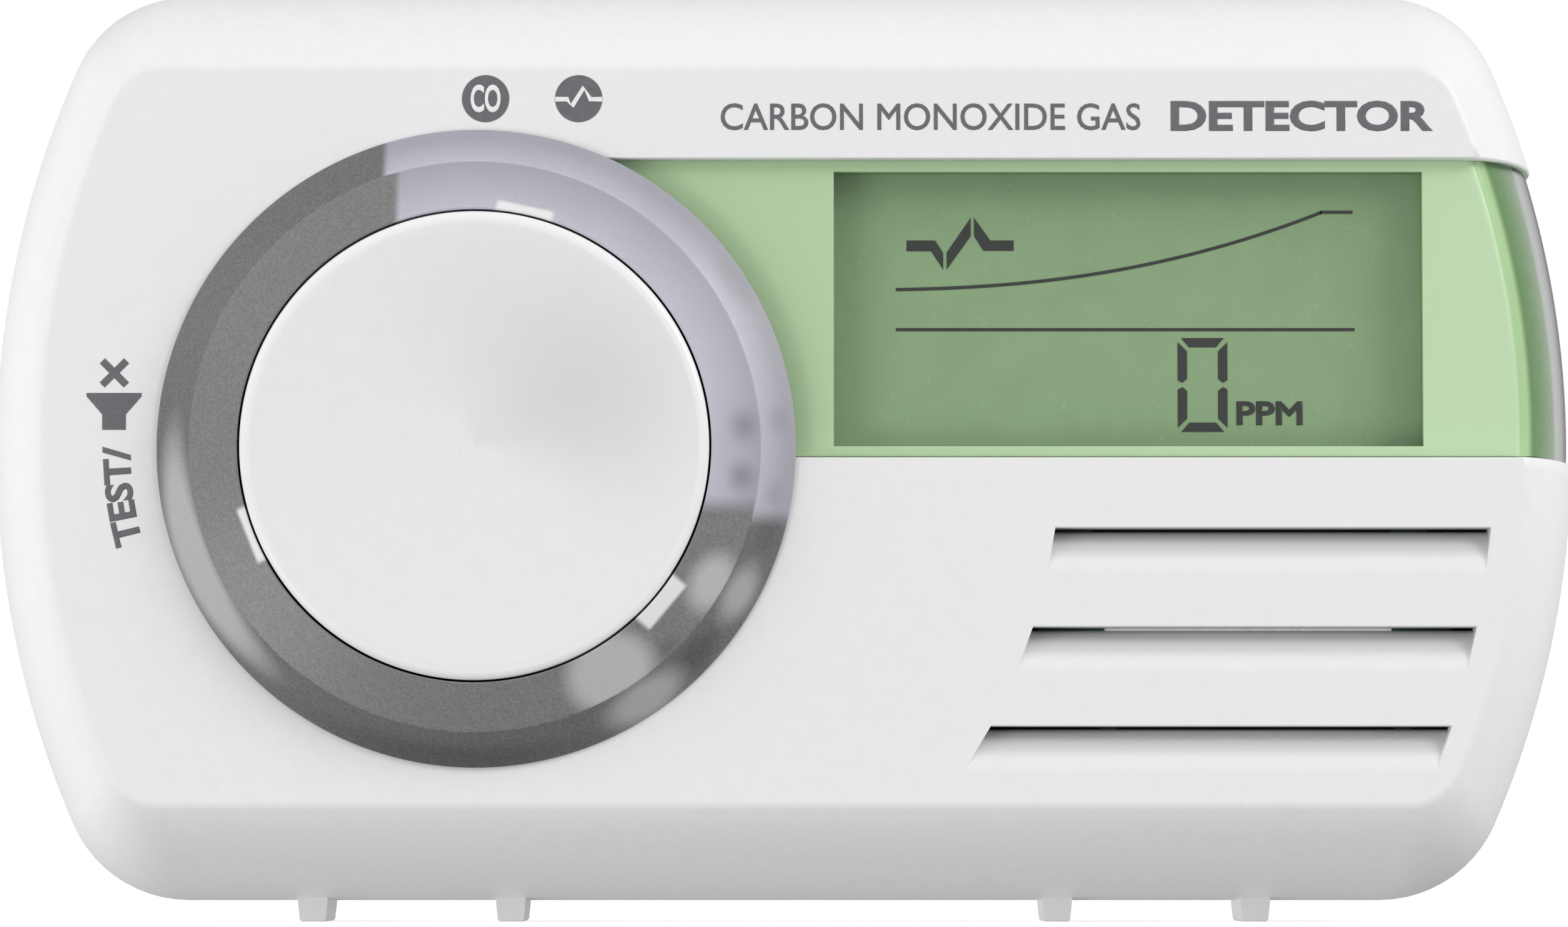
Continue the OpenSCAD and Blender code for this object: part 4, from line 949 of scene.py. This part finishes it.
marks = [disc(-22.18, 61.14, 1.76), disc(-15.26, 61.14, 1.76)]
marks += [[(-51.7, 39.2), (-47.62, 39.2), (-47.62, 38.95), (-48.78, 37.6), (-48.78, 36.46),
           (-50.53, 36.46), (-50.53, 37.6), (-51.7, 38.95)]]
arm, half, diagonal = 1.27, 0.27, math.sqrt(0.5)
cross = [(arm, -half), (arm, half), (half, half), (half, arm), (-half, arm), (-half, half),
         (-arm, half), (-arm, -half), (-half, -half), (-half, -arm), (half, -arm), (half, -half)]
marks += [[(-49.65 + (u - v) * diagonal, 40.69 + (u + v) * diagonal) for u, v in cross]]
printing = plates("printed_marks", marks, print_y - ink_t)
words = [lettering("plain_words", "CARBON MONOXIDE GAS", -4.71 * MM, 58.78 * MM, 2.02 * MM, 31.2 * MM,
                   print_y, bold=0.008),
         lettering("bold_words", "DETECTOR", 28.73 * MM, 58.7 * MM, 2.3 * MM, 19.5 * MM, print_y,
                   bold=0.035),
         lettering("test_word", "TEST/", 0, 28.1 * MM, 2.1 * MM, 7.1 * MM, print_y, bold=0.035,
                   round_ring=25.6 * MM)]
printing = join("printed_marks", [printing, *words])
print_grey = material("print_grey", (0.155, 0.155, 0.17), 0.5)
feed(print_grey, "Base Color", mottled(print_grey, 1500, (0.145, 0.145, 0.158), (0.17, 0.17, 0.183)))
paint(printing, print_grey)
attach(printing, "casing")
small_pulse = [(-17.0, 61.1), (-16.1, 61.1), (-15.75, 60.6), (-14.9, 61.95), (-14.4, 61.1),
               (-13.52, 61.1)]
white_marks = plates("printed_gaps", ribbon(small_pulse, 0.36), print_y - 0.035 * MM)
gas = lettering("gas_symbol", "CO", -23.3 * MM, 60.1 * MM, 2.1 * MM, 2.24 * MM, print_y - 0.022 * MM,
                bold=0.03)
white_marks = join("printed_gaps", [white_marks, gas])
paint(white_marks, casing_white)
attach(white_marks, "casing")

# ---------------------------------------------------------------------------------------------
# The works inside: boards, chips, sensor, sounder, cell and fixings are soldered or clipped in
# before the casing closes. They keep their shapes and take their own finishes: colour, roughness
# and whatever else the finish needs. The sensor shroud glows faintly as painted light, so the
# middle vent's slit shows light grey instead of dark.

metal = {"Metallic": 1.0}
# Painted light: a faint glow for the sensor shroud, which is no lamp.
painted_glow = {"Emission_Color": (1, 1, 1, 1), "Emission_Strength": 0.2}
finishes = {
    "lcd_frame": ((0.80, 0.80, 0.79), 0.5, {}), "lcd_backlight": ((0.62, 0.78, 0.50), 0.6, {}),
    "contact_strips": ((0.05, 0.05, 0.06), 0.7, {}), "light_guide": ((0.85, 0.87, 0.9), 0.2, {}),
    "test_switch": ((0.03, 0.03, 0.03), 0.5, {}), "switch_plunger": ((0.02, 0.02, 0.02), 0.45, {}),
    "main_board": ((0.035, 0.11, 0.045), 0.35, {}), "microcontroller": ((0.025, 0.025, 0.027), 0.5, {}),
    "chip_parts": ((0.35, 0.25, 0.15), 0.5, {}), "storage_capacitor": ((0.03, 0.05, 0.14), 0.35, {}),
    "boost_inductor": ((0.06, 0.06, 0.065), 0.6, {}), "red_led": ((0.6, 0.03, 0.02), 0.15, {}),
    "green_led": ((0.04, 0.4, 0.06), 0.15, {}), "amber_led": ((0.75, 0.3, 0.02), 0.15, {}),
    "sensor_board": ((0.1, 0.2, 0.11), 0.4, {}), "sensor_cell": ((0.62, 0.62, 0.6), 0.3, metal),
    "sensor_shroud": ((0.88, 0.88, 0.88), 0.5, painted_glow), "sensor_filter": ((0.85, 0.85, 0.82), 0.9, {}),
    "board_pins": ((0.75, 0.55, 0.22), 0.25, metal), "sounder_housing": ((0.8, 0.8, 0.79), 0.5, {}),
    "sounder_gasket": ((0.02, 0.02, 0.02), 0.9, {}), "piezo_disc": ((0.72, 0.5, 0.2), 0.3, metal),
    "sounder_cover": ((0.78, 0.78, 0.78), 0.5, {}), "sounder_leads": ((0.5, 0.03, 0.02), 0.5, {}),
    "lithium_cell": ((0.08, 0.16, 0.34), 0.35, {}), "cell_tabs": ((0.65, 0.65, 0.64), 0.3, metal),
    "cell_pad": ((0.03, 0.03, 0.03), 0.95, {}), "cell_leads": ((0.45, 0.03, 0.02), 0.5, {}),
    "activation_switch": ((0.5, 0.5, 0.52), 0.35, metal), "switch_lever": ((0.03, 0.03, 0.03), 0.5, {}),
    "activation_slider": ((0.5, 0.03, 0.02), 0.4, {}), "board_screws": ((0.6, 0.6, 0.62), 0.3, metal),
    "case_screws": ((0.6, 0.6, 0.62), 0.3, metal), "rear_label": ((0.72, 0.73, 0.74), 0.35, {})}
for name, (colour, roughness, extra) in finishes.items():
    made = material(name + "_finish", colour, roughness, **extra)
    pale = tuple(min(1.0, c * 1.12) for c in colour)
    feed(made, "Base Color", mottled(made, 800, colour, pale))
    feed(made, "Roughness", grain(made, 1500, roughness * 0.85, min(1.0, roughness * 1.2)))
    bumpy(made, 3000, 0.08, 0.00002)
    paint(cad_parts[name], made)
